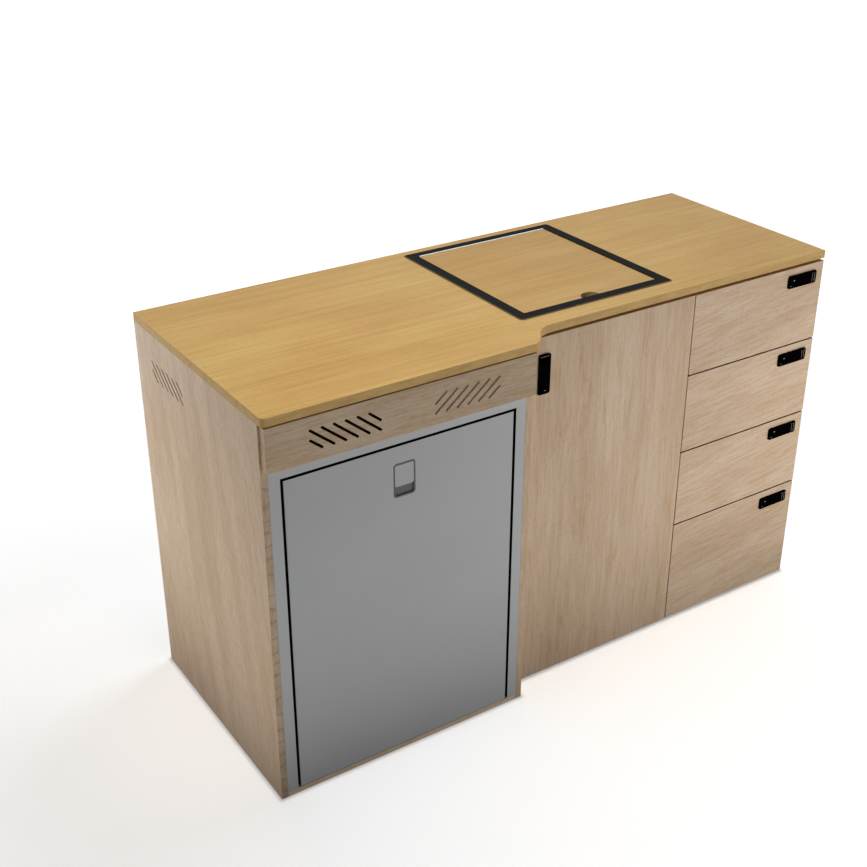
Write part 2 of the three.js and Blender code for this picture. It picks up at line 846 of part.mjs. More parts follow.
// The door turns about its hinge pins, so its group's origin lies on their axis
function fridgeDoor() {
  const group = new THREE.Group();
  group.position.set(pinX, pinY, 0);
  const left = fridgeDoorLeft - pinX;
  const right = fridgeDoorRight - pinX;
  const front = bayPanelSetback - pinY;
  const back = fridgeDoorBack - pinY;
  const plan = roundedRectangle(left, right, front, back, fridgeDoorEdge);
  const middle = (left + right) / 2;
  const dishTop = fridgeDoorTop - dishDrop;
  const grow = fitGap;
  const pocket = roundedRectangle(
    middle - dishWidth / 2 - grow,
    middle + dishWidth / 2 + grow,
    dishTop - dishHeight - grow,
    dishTop + grow,
    dishCorner + grow,
  );
  const bore = pinRadius + fitGap;
  const slab = cut(raise(plan, fridgeDoorFloor, fridgeDoorTop, 4), [
    carryBack(pocket, front - overrun, front + dishDepth + fitGap),
    uprightRod(0, 0, fridgeDoorTop - pinReach - fitGap, fridgeDoorTop + overrun, bore),
    uprightRod(0, 0, fridgeDoorFloor - overrun, fridgeDoorFloor + pinReach + fitGap, bore),
  ]);
  const sealBack = back + fitGap + gasketThickness;
  const low = fridgeDoorFloor + gasketFloorInset;
  const high = fridgeDoorTop - gasketTopInset;
  const seal = cut(
    block(left + gasketInset, right - gasketInset, back + fitGap, sealBack, low, high),
    [block(
      left + gasketInset + gasketWidth,
      right - gasketInset - gasketWidth,
      back - overrun,
      sealBack + overrun,
      low + gasketWidth,
      high - gasketWidth,
    )],
  );
  const latch = fridgeLatch();
  latch.position.set(middle, front, dishTop);
  group.add(
    piece('fridge_door', slab, fridgeGrey),
    piece('fridge_door_gasket', seal, rubber),
    latch,
  );
  return group;
}

// Latch of the fridge door, from the middle of its top edge on the door's face
function fridgeLatch() {
  const group = new THREE.Group();
  const half = dishWidth / 2;
  const padHalf = half - dishWall - runGap;
  const padTop = -dishWall - 2 * runGap;
  const pivotZ = padTop - padPivotInset;
  const holeReach = padHalf + runGap + padPivotReach + fitGap;
  const dish = cut(
    carryBack(roundedRectangle(-half, half, -dishHeight, 0, dishCorner), 0, dishDepth),
    [
      carryBack(
        roundedRectangle(
          -half + dishWall, half - dishWall, -dishHeight + dishWall, -dishWall, padCorner + runGap),
        -overrun,
        dishDepth - dishFloor,
      ),
      rodAlong(-holeReach, holeReach, padPivotDepth, pivotZ, padPivotRadius + fitGap),
    ],
  );
  const face = roundedRectangle(-padHalf, padHalf, padTop - padHeight, padTop, padCorner);
  const pinHalf = padHalf + runGap + padPivotReach;
  const pad = join([
    carryBack(face, 0, padThickness),
    rodAlong(-pinHalf, pinHalf, padPivotDepth, pivotZ, padPivotRadius),
  ]);
  group.add(piece('fridge_latch_dish', dish, latchGrey), piece('fridge_latch_pad', pad, fridgeGrey));
  return group;
}

function fridge() {
  const group = new THREE.Group();
  const lowerPin = uprightRod(pinX, pinY, lowerPinBottom, fridgeDoorFloor + pinReach, pinRadius);
  group.add(
    piece('fridge_flange', fridgeFlange(), fridgeGrey),
    piece('fridge_cabinet', fridgeCabinet(), fridgeWhite),
    piece('fridge_shelf', fridgeShelf(), glass),
    piece('fridge_hinge_pin_upper', upperPin(), zinc),
    piece('fridge_hinge_pin_lower', lowerPin, zinc),
    piece('fridge_compressor', compressor(), frameBlack),
    piece('fridge_condenser', condenser(), zinc),
    fridgeDoor(),
  );
  return group;
}

// Paddle latch

// The latch's own frame: X runs from the pivot to the finger end, Y into the board, the origin in the
// middle of the latch on the board's face
const latchOpenHalf = latchLength / 2 - latchEndBorder;
const latchOpenRise = latchHeight / 2 - latchBorder;
const latchPivotX = -latchOpenHalf + latchPivotInset;
const latchPivotY = latchHeel - latchProud;
const paddleHalf = latchOpenRise - runGap;

function latchPocketTool() {
  const growX = latchOpenHalf + latchWall + fitGap;
  const growZ = latchOpenRise + latchWall + fitGap;
  const shape = roundedRectangle(-growX, growX, -growZ, growZ, latchOpeningCorner + latchWall + fitGap);
  return carryBack(shape, -overrun, latchCollar + fitGap, 1);
}

function latchBezel() {
  const half = latchLength / 2;
  const rise = latchHeight / 2;
  const rim = carryBack(roundedRectangle(-half, half, -rise, rise, latchCorner), -latchProud, -fitGap, 2);
  const wallX = latchOpenHalf + latchWall;
  const wallZ = latchOpenRise + latchWall;
  const collar = carryBack(
    roundedRectangle(-wallX, wallX, -wallZ, wallZ, latchOpeningCorner + latchWall),
    -latchProud / 2,
    latchCollar,
    1,
  );
  const mouth = roundedRectangle(
    -latchOpenHalf, latchOpenHalf, -latchOpenRise, latchOpenRise, latchOpeningCorner);
  const reach = paddleHalf + runGap + latchPivotReach;
  return cut(join([rim, collar]), [
    carryBack(mouth, -latchProud - overrun, latchCollar - latchFloor, 1),
    uprightRod(latchPivotX, latchPivotY, -reach, reach, latchPivotRadius + fitGap, 10),
  ]);
}

function latchPaddle() {
  const tip = latchOpenHalf - latchFingerGap;
  const shape = new THREE.Shape();
  shape.moveTo(latchPivotX, -latchProud);
  shape.lineTo(tip, -latchProud);
  shape.lineTo(tip, -latchProud + latchTip);
  shape.lineTo(latchPivotX + latchHeight, latchPivotY + latchHeel);
  shape.lineTo(latchPivotX, latchPivotY + latchHeel);
  shape.absarc(latchPivotX, latchPivotY, latchHeel, Math.PI / 2, Math.PI * 1.5);
  const reach = paddleHalf + runGap + latchPivotReach - fitGap;
  const whole = join([
    raise(shape, -paddleHalf, paddleHalf),
    uprightRod(latchPivotX, latchPivotY, -reach, reach, latchPivotRadius, 10),
  ]);
  return cut(whole, [latchDimple()]);
}

// The shallow round hollow that a thumb presses, near the paddle's pivot
function latchDimple() {
  const bowlRadius = (latchDimpleRadius ** 2 + latchDimpleDepth ** 2) / (2 * latchDimpleDepth);
  const profile = [new THREE.Vector2(0, -overrun), new THREE.Vector2(latchDimpleRadius, -overrun)];
  for (let ring = 2; ring >= 0; ring -= 1) {
    const radius = latchDimpleRadius * ring / 2;
    const depth = Math.sqrt(bowlRadius ** 2 - radius ** 2) - bowlRadius + latchDimpleDepth;
    profile.push(new THREE.Vector2(radius, depth));
  }
  return new THREE.LatheGeometry(profile, 14).translate(latchPivotX + latchDimpleInset, -latchProud, 0);
}

function paddleLatch(owner) {
  const group = new THREE.Group();
  group.add(
    piece(`${owner}_latch_bezel`, latchBezel(), blackPlastic),
    piece(`${owner}_latch_paddle`, latchPaddle(), blackPlastic),
  );
  return group;
}

// Cupboard door

// The door's frame: the origin at the bottom of its front right edge
const cupMiddleX = -cupEdge - cupRadius;
const cupBottom = frontThickness - cupDepth;

// A round solid on the door's depth, from y0 to y1
function cupDisc(radius, y0, y1) {
  return new THREE.CylinderGeometry(radius, radius, y1 - y0, 28).translate(cupMiddleX, (y0 + y1) / 2, 0);
}

function hingeCup() {
  const back = frontThickness + fitGap + cupFlange;
  const flange = block(
    cupMiddleX - cupFlangeHalf,
    cupMiddleX + cupFlangeHalf,
    frontThickness + fitGap,
    back,
    -cupFlangeReach,
    cupFlangeReach,
  );
  const bowl = cupDisc(cupRadius, cupBottom, back);
  const cavity = cupDisc(cupRadius - cupWall, cupBottom + cupWall, back + overrun);
  const shell = cut(join([flange, bowl]), [cavity]);
  const reach = Math.sqrt((cupRadius - cupWall / 2) ** 2 - (cupMiddleX + cupPinInset) ** 2);
  return join([shell, uprightRod(-cupPinInset, cupPinDepth, -reach, reach, cupPinRadius, 12)]);
}

function hingeArm() {
  const x = -cupPinInset;
  const y = cupPinDepth;
  const near = x - armSweep;
  const far = near - armNeck;
  const rear = y + armSweep;
  const end = rear + armLength;
  const wallX = drawerDividerLeft - doorRight - fitGap;
  const crank = raise(outline([
    [x, y - armNeck / 2],
    [far, y - armNeck / 2],
    [far, rear + armBar],
    [wallX - armStrip, rear + armBar],
    [wallX - armStrip, end],
    [wallX, end],
    [wallX, rear],
    [near, rear],
    [near, y + armNeck / 2],
    [x, y + armNeck / 2],
  ]), -armWidth / 2, armWidth / 2);
  const eye = uprightRod(x, y, -armWidth / 2, armWidth / 2, armEye);
  const plate = block(
    wallX - armPlate, wallX, end - armPlateLength, end, -armPlateHeight / 2, armPlateHeight / 2);
  const bore = uprightRod(x, y, -armWidth, armWidth, cupPinRadius + fitGap, 12);
  return cut(join([crank, eye, plate]), [bore]);
}

function cupboard() {
  const group = new THREE.Group();
  group.position.set(doorRight, frontPlane, frontFloorGap);
  const latchX = -doorWidth + doorLatchSideMargin + latchHeight / 2;
  const latchZ = doorHeight - doorLatchTopMargin - latchLength / 2;
  const latch = paddleLatch('cupboard_door');
  latch.position.set(latchX, 0, latchZ);
  latch.rotation.y = -Math.PI / 2;
  const pocket = latchPocketTool().rotateY(-Math.PI / 2).translate(latchX, 0, latchZ);
  const heights = { lower: hingeInset, upper: doorHeight - hingeInset };
  const tools = [pocket];
  for (const [name, height] of Object.entries(heights)) {
    const tool = cupDisc(cupRadius + fitGap, cupBottom - fitGap, frontThickness + overrun);
    tools.push(tool.translate(0, 0, height));
    group.add(
      piece(`hinge_cup_${name}`, hingeCup().translate(0, 0, height), zinc),
      piece(`hinge_arm_${name}`, hingeArm().translate(0, 0, height), zinc),
    );
  }
  const board = block(-doorWidth, 0, 0, frontThickness, 0, doorHeight);
  group.add(piece('cupboard_door', cut(board, tools), oak), latch);
  return group;
}

// Drawers

const bayLeftX = drawerDividerRight - drawerLeft;
const bayRightX = rightPanelInner - drawerLeft;
const boxFront = frontThickness + fitGap;
const drawerBoxLength = backRailFront - drawerBackClear - frontPlane - boxFront;
const runnerLength = drawerBoxLength - runnerShort;

// The drawer's frame: the origin at the bottom left corner of its front's face
function drawerBox(height) {
  const left = bayLeftX + slideSpace;
  const right = bayRightX - slideSpace;
  const back = boxFront + drawerBoxLength;
  const top = drawerBoxLift + height;
  const shell = cut(block(left, right, boxFront, back, drawerBoxLift, top), [block(
    left + drawerBoxWall,
    right - drawerBoxWall,
    boxFront + drawerBoxWall,
    back - drawerBoxWall,
    drawerBoxLift + drawerBoxFloor,
    top + overrun,
  )]);
  return join([shell, slideRail(1).translate(bayLeftX, 0, 0), slideRail(-1).translate(bayRightX, 0, 0)]);
}

// The slide member on the box's side, from the bay's wall: side is 1 on the left and -1 on the right
function slideRail(side) {
  const lip = fitGap + runnerDepth - runnerSheet;
  const headFar = lip - 3 * runGap;
  const headRise = runnerHeight / 2 - runnerSheet - runGap;
  const middle = drawerBoxLift + runnerLift;
  const front = boxFront + drawerBoxWall;
  const back = boxFront + runnerLength;
  const spans = [
    [headFar - railHead, headFar, headRise],
    [headFar - overrun, slideSpace + overrun, railNeck / 2],
  ];
  return join(spans.map(([a, b, rise]) => block(
    Math.min(side * a, side * b), Math.max(side * a, side * b), front, back, middle - rise, middle + rise)));
}

// The channel fixed to the bay's wall
function runner(side) {
  const middle = drawerBoxLift + runnerLift;
  const rise = runnerHeight / 2;
  const near = fitGap;
  const far = fitGap + runnerDepth;
  const profile = outline([
    [near, middle - rise],
    [far, middle - rise],
    [far, middle - rise + runnerLip],
    [far - runnerSheet, middle - rise + runnerLip],
    [far - runnerSheet, middle - rise + runnerSheet],
    [near + runnerSheet, middle - rise + runnerSheet],
    [near + runnerSheet, middle + rise - runnerSheet],
    [far - runnerSheet, middle + rise - runnerSheet],
    [far - runnerSheet, middle + rise - runnerLip],
    [far, middle + rise - runnerLip],
    [far, middle + rise],
    [near, middle + rise],
  ].map(([u, v]) => [side * u, v]));
  const start = frontThickness + bumperGap + fitGap;
  return carryBack(profile, start, start + runnerLength);
}

function drawer(number, floor, height) {
  const group = new THREE.Group();
  group.position.set(drawerLeft, frontPlane, floor);
  const name = `drawer_${number}`;
  const latchX = drawerFrontWidth - latchSideMargin - latchLength / 2;
  const latchZ = height - latchTopMargin - latchHeight / 2;
  const latch = paddleLatch(name);
  latch.position.set(latchX, 0, latchZ);
  const board = block(0, drawerFrontWidth, 0, frontThickness, 0, height);
  group.add(
    piece(`${name}_front`, cut(board, [latchPocketTool().translate(latchX, 0, latchZ)]), oak),
    piece(`${name}_box`, drawerBox(height - drawerBoxShort), birch),
    piece(`${name}_runner_left`, runner(1).translate(bayLeftX, 0, 0), zinc),
    piece(`${name}_runner_right`, runner(-1).translate(bayRightX, 0, 0), zinc),
    latch,
  );
  return group;
}

// Equal fronts from the top down, and a taller one with what is left at the bottom
function drawers() {
  const group = new THREE.Group();
  let top = frontsTop;
  for (let number = 1; number <= drawerCount; number += 1) {
    const last = number === drawerCount;
    const height = last ? top - frontFloorGap : drawerFrontHeight;
    group.add(drawer(number, top - height, height));
    top -= height + frontGap;
  }
  return group;
}

// The pod

const pod = new THREE.Group();
pod.position.set(-podLength / 2, -podDepth / 2, 0);
pod.add(carcass(), sink(), fridge(), cupboard(), drawers());

const scene = new THREE.Group();
scene.add(pod);

export default scene;
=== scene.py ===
"""Campervan kitchen pod: materials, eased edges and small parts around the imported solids,
with floor, light and camera.

Metres. +X runs along the pod, +Y towards its back, +Z up. The origin is on the floor,
under the middle of the pod.
"""

import json
import math

import bmesh
import bpy
from mathutils import Matrix, Vector
from mathutils.bvhtree import BVHTree

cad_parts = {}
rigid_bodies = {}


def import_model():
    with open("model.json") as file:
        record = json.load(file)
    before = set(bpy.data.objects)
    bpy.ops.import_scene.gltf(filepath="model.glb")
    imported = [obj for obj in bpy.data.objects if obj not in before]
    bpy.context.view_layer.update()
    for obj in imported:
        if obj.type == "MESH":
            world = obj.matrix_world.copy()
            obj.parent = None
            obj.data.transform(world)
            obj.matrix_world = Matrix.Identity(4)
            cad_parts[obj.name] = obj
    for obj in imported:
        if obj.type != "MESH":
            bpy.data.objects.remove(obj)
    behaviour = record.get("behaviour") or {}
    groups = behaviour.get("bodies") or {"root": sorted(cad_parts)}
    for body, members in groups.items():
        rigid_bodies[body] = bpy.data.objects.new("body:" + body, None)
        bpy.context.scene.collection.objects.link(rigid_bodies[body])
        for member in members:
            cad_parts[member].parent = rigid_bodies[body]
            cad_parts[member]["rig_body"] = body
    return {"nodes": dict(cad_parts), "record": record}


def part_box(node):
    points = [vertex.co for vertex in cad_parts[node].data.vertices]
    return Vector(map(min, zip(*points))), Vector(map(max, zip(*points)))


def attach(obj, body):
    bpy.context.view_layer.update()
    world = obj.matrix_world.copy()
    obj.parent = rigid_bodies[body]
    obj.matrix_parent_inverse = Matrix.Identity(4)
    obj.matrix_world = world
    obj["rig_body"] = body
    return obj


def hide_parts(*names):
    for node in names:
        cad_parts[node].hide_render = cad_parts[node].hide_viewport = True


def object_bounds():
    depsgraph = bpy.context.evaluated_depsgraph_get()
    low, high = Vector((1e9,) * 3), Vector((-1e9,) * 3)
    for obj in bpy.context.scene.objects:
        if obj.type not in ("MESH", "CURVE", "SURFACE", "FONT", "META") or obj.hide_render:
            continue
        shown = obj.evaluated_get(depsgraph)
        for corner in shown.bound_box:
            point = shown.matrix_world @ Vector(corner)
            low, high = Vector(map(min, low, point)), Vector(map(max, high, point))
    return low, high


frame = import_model()
cad_box = [list(corner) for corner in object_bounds()]

DRAWERS = range(1, 5)
SIDES = ("left", "right")
PLACES = ("upper", "lower")


# Camera

CAMERA_SENSOR = 36.0
CAMERA_LENS = 55.465
CAMERA_EYE = Vector((-1.65432720, -2.22802261, 1.97456456))
CAMERA_RIGHT = Vector((0.83674789, -0.54758830, 0.00016045))
CAMERA_UP = Vector((0.25359915, 0.38777443, 0.88618196))
CAMERA_AHEAD = Vector((0.48532509, 0.74147019, -0.46333736))


def place_camera():
    data = bpy.data.cameras.new("camera")
    data.sensor_width = CAMERA_SENSOR
    data.lens = CAMERA_LENS
    camera = bpy.data.objects.new("camera", data)
    bpy.context.scene.collection.objects.link(camera)
    axes = Matrix((CAMERA_RIGHT, CAMERA_UP, -CAMERA_AHEAD)).transposed().to_4x4()
    camera.matrix_world = Matrix.Translation(CAMERA_EYE) @ axes
    bpy.context.scene.camera = camera


# Colours and node trees


def linear(value):
    """The linear light of one part of a written colour, from 0 to 255."""
    value /= 255.0
    return value / 12.92 if value <= 0.04045 else ((value + 0.055) / 1.055) ** 2.4


def rgb(red, green, blue):
    return (linear(red), linear(green), linear(blue), 1.0)


def grey(value):
    return (value, value, value, 1.0)


def scaled(colour, factor):
    """A colour times a factor, with no part above 1."""
    return tuple(min(1.0, part * factor) for part in colour[:3]) + (1.0,)


class Tree:
    """A node tree that is built from left to right."""

    def __init__(self, holder):
        holder.use_nodes = True
        self.nodes = holder.node_tree.nodes
        self.links = holder.node_tree.links
        self.nodes.clear()

    def add(self, kind, values=None, **settings):
        """A node whose inputs are each linked to an output or set to a plain value."""
        node = self.nodes.new(kind)
        for key, value in settings.items():
            setattr(node, key, value)
        for key, value in (values or {}).items():
            socket = node.inputs[key]
            if isinstance(value, bpy.types.NodeSocket):
                self.links.new(value, socket)
            else:
                socket.default_value = value
        return node

    def ramp(self, factor, places, colours):
        node = self.add("ShaderNodeValToRGB", {"Fac": factor})
        ramp = node.color_ramp
        while len(ramp.elements) < len(places):
            ramp.elements.new(0.5)
        for element, place, colour in zip(ramp.elements, places, colours):
            element.position = place
            element.color = colour
        return node.outputs["Color"]

    def mix(self, factor, one, other, mode="MIX"):
        values = {0: factor, 6: one, 7: other}
        return self.add("ShaderNodeMix", values, data_type="RGBA", blend_type=mode).outputs[2]

    def math(self, operation, one, other=0.0):
        return self.add("ShaderNodeMath", {0: one, 1: other}, operation=operation).outputs[0]

    def swing(self, pattern, size, base):
        """A pattern from 0 to 1 times size, added to base."""
        return self.math("ADD", self.math("MULTIPLY", pattern, size), base)

    def here(self):
        return self.add("ShaderNodeTexCoord").outputs["Object"]

    def mapped(self, vector, **values):
        return self.add("ShaderNodeMapping", {"Vector": vector, **values}).outputs[0]

    def bump(self, height, strength, depth, invert=False):
        values = {"Height": height, "Strength": strength, "Distance": depth}
        return self.add("ShaderNodeBump", values, invert=invert).outputs[0]

    def diffuse(self, colour):
        return self.add("ShaderNodeBsdfDiffuse", {"Color": colour}).outputs[0]

    def emission(self, colour, strength):
        return self.add("ShaderNodeEmission", {"Color": colour, "Strength": strength}).outputs[0]

    def background(self, colour, strength):
        return self.add("ShaderNodeBackground", {"Color": colour, "Strength": strength}).outputs[0]

    def both(self, one, other):
        """Two shaders added."""
        return self.add("ShaderNodeAddShader", {0: one, 1: other}).outputs[0]

    def blend(self, factor, one, other):
        """Two shaders mixed."""
        return self.add("ShaderNodeMixShader", {0: factor, 1: one, 2: other}).outputs[0]


def stretched(tree, axis, stretch, tilt=0.0, turn="Y"):
    """Object coordinates, with lengths along one axis divided by stretch, after a turn of tilt radians."""
    place = tree.here()
    if tilt:
        angles = {"X": (tilt, 0, 0), "Y": (0, tilt, 0)}[turn]
        place = tree.mapped(place, Rotation=angles)
    scale = [1.0, 1.0, 1.0]
    scale["XYZ".index(axis)] = 1.0 / stretch
    return tree.mapped(place, Scale=scale)


def noise(tree, place, scale, detail=3.0, roughness=0.5, distortion=0.0):
    values = {
        "Vector": place,
        "Scale": scale,
        "Detail": detail,
        "Roughness": roughness,
        "Distortion": distortion,
    }
    return tree.add("ShaderNodeTexNoise", values).outputs["Fac"]


def ranged(tree, value, low, high, start, end, kind="SMOOTHSTEP"):
    """Goes from start to end while value goes from low to high."""
    values = {"Value": value, "From Min": low, "From Max": high, "To Min": start, "To Max": end}
    return tree.add("ShaderNodeMapRange", values, interpolation_type=kind).outputs[0]


def principled(tree, values):
    surface = tree.add("ShaderNodeBsdfPrincipled", values)
    tree.add("ShaderNodeOutputMaterial", {"Surface": surface.outputs[0]})


# Wood, with the limits between which each noise pattern takes hold

SEED_SHIFT = (0.37, 0.71, 0.53)
TONE_PLACES = (0.36, 0.5, 0.64)
STREAK_LIMITS = (0.42, 0.64)
LINE_LIMITS = (0.42, 0.62)
FLECK_SCALE = 34.0
FLECK_STRETCH = 3.5
FLECK_LIMITS = (0.56, 0.7)
PORE_SCALE = 1100.0
PORE_STRETCH = 18.0
PORE_LIMITS = (0.57, 0.68)
PORE_STRENGTH = 0.66
PORE_DEPTH = 0.5
GRAIN_DEPTH = 0.0003
GRAIN_BUMP = 0.05
LINE_GLOSS = 0.14
WOOD_GLINT = 0.2


def wood(name, tones, shade, axis, streaks, lines, patch, seed, tilt=0.0, turn="Y", flecks=0.0, shine=0.5):
    """Soft patches of three tones, with streaks, fine lines, flecks and open pores along one axis.

    Streaks and lines are each a scale, a length to width, and a strength. Patch is the first two.
    """
    material = bpy.data.materials.new(name)
    tree = Tree(material)
    shift = tuple(seed * part for part in SEED_SHIFT)

    def along(stretch):
        return tree.mapped(stretched(tree, axis, stretch, tilt, turn), Location=shift)

    def shaded(colour, pattern, limits, strength):
        return tree.mix(ranged(tree, pattern, *limits, 0.0, strength), colour, shade, "MULTIPLY")

    clouds = noise(tree, along(patch[1]), patch[0], roughness=0.55, distortion=0.15)
    colour = tree.ramp(clouds, TONE_PLACES, tones)
    broad = noise(tree, along(streaks[1]), streaks[0], roughness=0.6, distortion=0.1)
    colour = shaded(colour, broad, STREAK_LIMITS, streaks[2])
    fine = noise(tree, along(lines[1]), lines[0], detail=2.0, roughness=0.6)
    colour = shaded(colour, fine, LINE_LIMITS, lines[2])
    if flecks:
        spots = noise(tree, along(FLECK_STRETCH), FLECK_SCALE, detail=2.0, distortion=0.3)
        colour = shaded(colour, spots, FLECK_LIMITS, flecks)
    pores = noise(tree, along(PORE_STRETCH), PORE_SCALE, detail=1.0)
    colour = shaded(colour, pores, PORE_LIMITS, PORE_STRENGTH)
    height = tree.math("ADD", fine, tree.math("MULTIPLY", pores, PORE_DEPTH))
    values = {
        "Base Color": colour,
        "Roughness": tree.swing(fine, LINE_GLOSS, shine),
        "Normal": tree.bump(height, GRAIN_BUMP, GRAIN_DEPTH, invert=True),
        "Specular IOR Level": WOOD_GLINT,
    }
    principled(tree, values)
    return material


# Cut edges of boards

EDGE_STREAK_SCALE = 90.0
EDGE_STREAK_STRETCH = 6.0
EDGE_GRAIN_SCALE = 700.0
EDGE_GRAIN_STRETCH = 12.0
EDGE_TONE_PLACES = (0.36, 0.62)
EDGE_GRAIN_PLACES = (0.35, 0.65)
EDGE_GRAIN_TONES = (grey(0.93), grey(1.03))
EDGE_ROUGHNESS = 0.7
EDGE_BUMP = 0.08
TICK_TILT = math.radians(-24.0)
TICK_WAVE = {"Scale": 10.5, "Distortion": 6.0, "Detail": 2.0, "Detail Scale": 1.2}
TICK_LIMITS = (0.86, 1.0)
TICK_STRENGTH = 0.45
TICK_SHADE = (0.62, 0.55, 0.5, 1.0)


def board_edge(name, tones, axis, ticks=False):
    """The cut edge of a board: soft streaks along it, and slanting marks across it where ticks is set."""
    material = bpy.data.materials.new(name)
    tree = Tree(material)
    streaked = stretched(tree, axis, EDGE_STREAK_STRETCH)
    broad = noise(tree, streaked, EDGE_STREAK_SCALE, roughness=0.6, distortion=0.2)
    grained = stretched(tree, axis, EDGE_GRAIN_STRETCH)
    grains = noise(tree, grained, EDGE_GRAIN_SCALE, detail=2.0, roughness=0.6)
    colour = tree.ramp(broad, EDGE_TONE_PLACES, tones)
    tint = tree.ramp(grains, EDGE_GRAIN_PLACES, EDGE_GRAIN_TONES)
    colour = tree.mix(1.0, colour, tint, "MULTIPLY")
    if ticks:
        slanted = tree.mapped(tree.here(), Rotation=(TICK_TILT, 0.0, 0.0))
        values = {"Vector": slanted, **TICK_WAVE}
        wave = tree.add("ShaderNodeTexWave", values, wave_type="BANDS", bands_direction="Z")
        strength = ranged(tree, wave.outputs["Fac"], *TICK_LIMITS, 0.0, TICK_STRENGTH)
        colour = tree.mix(strength, colour, TICK_SHADE, "MULTIPLY")
    values = {
        "Base Color": colour,
        "Roughness": EDGE_ROUGHNESS,
        "Normal": tree.bump(grains, EDGE_BUMP, GRAIN_DEPTH),
        "Specular IOR Level": WOOD_GLINT,
    }
    principled(tree, values)
    return material


# Paint, metal and glass

PAINT_CLOUD_SCALE = 9.0
PAINT_GRAIN_SCALE = 1400.0
PAINT_PLACES = (0.35, 0.65)
PAINT_SWING = 0.1
HAIR_SCALE = 1500.0
HAIR_STRETCH = 60.0
HAIR_DEPTH = 0.0002
HAIR_SWING = 0.16
METAL_CLOUD_SCALE = 14.0
METAL_PLACES = (0.3, 0.7)
METAL_DARKER = 0.9
METAL_LIGHTER = 1.08
METAL_ANISOTROPY = 0.4
HAZE_SCALE = 30.0
HAZE_SWING = 0.04
HAZE_BASE = 0.02
GLASS_VALUES = {"IOR": 1.5, "Transmission Weight": 0.9}


def painted(name, colour, rough, grain, spread=0.05, glint=0.5):
    """A moulded or coated surface, with slight unevenness in its colour and gloss."""
    material = bpy.data.materials.new(name)
    tree = Tree(material)
    place = tree.here()
    cloud = noise(tree, place, PAINT_CLOUD_SCALE)
    speck = noise(tree, place, PAINT_GRAIN_SCALE, detail=2.0)
    tones = (scaled(colour, 1 - spread), scaled(colour, 1 + spread))
    values = {
        "Base Color": tree.ramp(cloud, PAINT_PLACES, tones),
        "Roughness": tree.swing(cloud, PAINT_SWING, rough - PAINT_SWING / 2),
        "Specular IOR Level": glint,
        "Normal": tree.bump(speck, grain, GRAIN_DEPTH),
    }
    principled(tree, values)
    return material


def brushed(name, colour, rough, axis, strength=0.12):
    """Metal with fine brush lines along one axis."""
    material = bpy.data.materials.new(name)
    tree = Tree(material)
    hairs = noise(tree, stretched(tree, axis, HAIR_STRETCH), HAIR_SCALE, roughness=0.7)
    cloud = noise(tree, tree.here(), METAL_CLOUD_SCALE)
    tones = (scaled(colour, METAL_DARKER), scaled(colour, METAL_LIGHTER))
    lined = tree.ramp(hairs, METAL_PLACES, tones)
    clouded = tree.ramp(cloud, METAL_PLACES, tones)
    values = {
        "Base Color": tree.mix(0.5, lined, clouded),
        "Roughness": tree.swing(hairs, HAIR_SWING, rough - HAIR_SWING / 2),
        "Metallic": 1.0,
        "Normal": tree.bump(hairs, strength, HAIR_DEPTH),
        "Anisotropic": METAL_ANISOTROPY,
    }
    principled(tree, values)
    return material


def clear_glass(name, colour):
    material = bpy.data.materials.new(name)
    tree = Tree(material)
    haze = tree.swing(noise(tree, tree.here(), HAZE_SCALE), HAZE_SWING, HAZE_BASE)
    principled(tree, {"Base Color": colour, "Roughness": haze, **GLASS_VALUES})
    return material


# Materials of the pod

OAK = (rgb(204, 179, 152), rgb(210, 186, 160), rgb(216, 193, 168))
# A darker copy of OAK: painted shade on the fascia under the worktop.
OAK_PAINTED_SHADE = (rgb(186, 165, 140), rgb(192, 172, 146), rgb(198, 178, 153))
OAK_SHADE = (0.8, 0.65, 0.48, 1.0)
BAMBOO = (rgb(215, 169, 96), rgb(222, 180, 104), rgb(226, 188, 113))
BAMBOO_WARM = (rgb(206, 159, 89), rgb(212, 169, 96), rgb(217, 177, 105))
BAMBOO_SHADE = (0.8, 0.72, 0.58, 1.0)
BAMBOO_GRAIN = {
    "streaks": (46.0, 22.0, 0.3),
    "lines": (210.0, 60.0, 0.4),
    "patch": (5.0, 2.5),
    "shine": 0.36,
}
BIRCH = (rgb(213, 187, 146), rgb(224, 200, 160), rgb(232, 212, 176))
BIRCH_SHADE = (0.8, 0.72, 0.62, 1.0)

oak_upright = wood(
    "oak_upright",
    OAK,
    OAK_SHADE,
    "Z",
    streaks=(60.0, 18.0, 0.25),
    lines=(400.0, 30.0, 0.36),
    patch=(9.0, 5.0),
    flecks=0.3,
    seed=1.0,
)
oak_side = wood(
    "oak_side",
    OAK,
    OAK_SHADE,
    "Z",
    streaks=(26.0, 10.0, 0.28),
    lines=(300.0, 14.0, 0.42),
    patch=(12.0, 6.0),
    tilt=0.16,
    turn="X",
    seed=4.0,
)
oak_level = wood(
    "oak_level",
    OAK,
    OAK_SHADE,
    "X",
    streaks=(60.0, 12.0, 0.25),
    lines=(250.0, 16.0, 0.4),
    patch=(8.0, 4.0),
    seed=2.0,
)
oak_fascia = wood(
    "oak_fascia",
    OAK_PAINTED_SHADE,
    OAK_SHADE,
    "X",
    streaks=(60.0, 12.0, 0.25),
    lines=(250.0, 18.0, 0.42),
    patch=(8.0, 4.0),
    seed=2.0,
)
oak_slanted = wood(
    "oak_slanted",
    OAK,
    OAK_SHADE,
    "X",
    streaks=(50.0, 12.0, 0.12),
    lines=(230.0, 14.0, 0.46),
    patch=(9.0, 5.0),
    tilt=math.radians(6.0),
    flecks=0.06,
    seed=3.0,
)
bamboo_level = wood("bamboo_level", BAMBOO, BAMBOO_SHADE, "X", seed=5.0, **BAMBOO_GRAIN)
bamboo_lid = wood("bamboo_lid", BAMBOO_WARM, BAMBOO_SHADE, "X", seed=8.0, **BAMBOO_GRAIN)
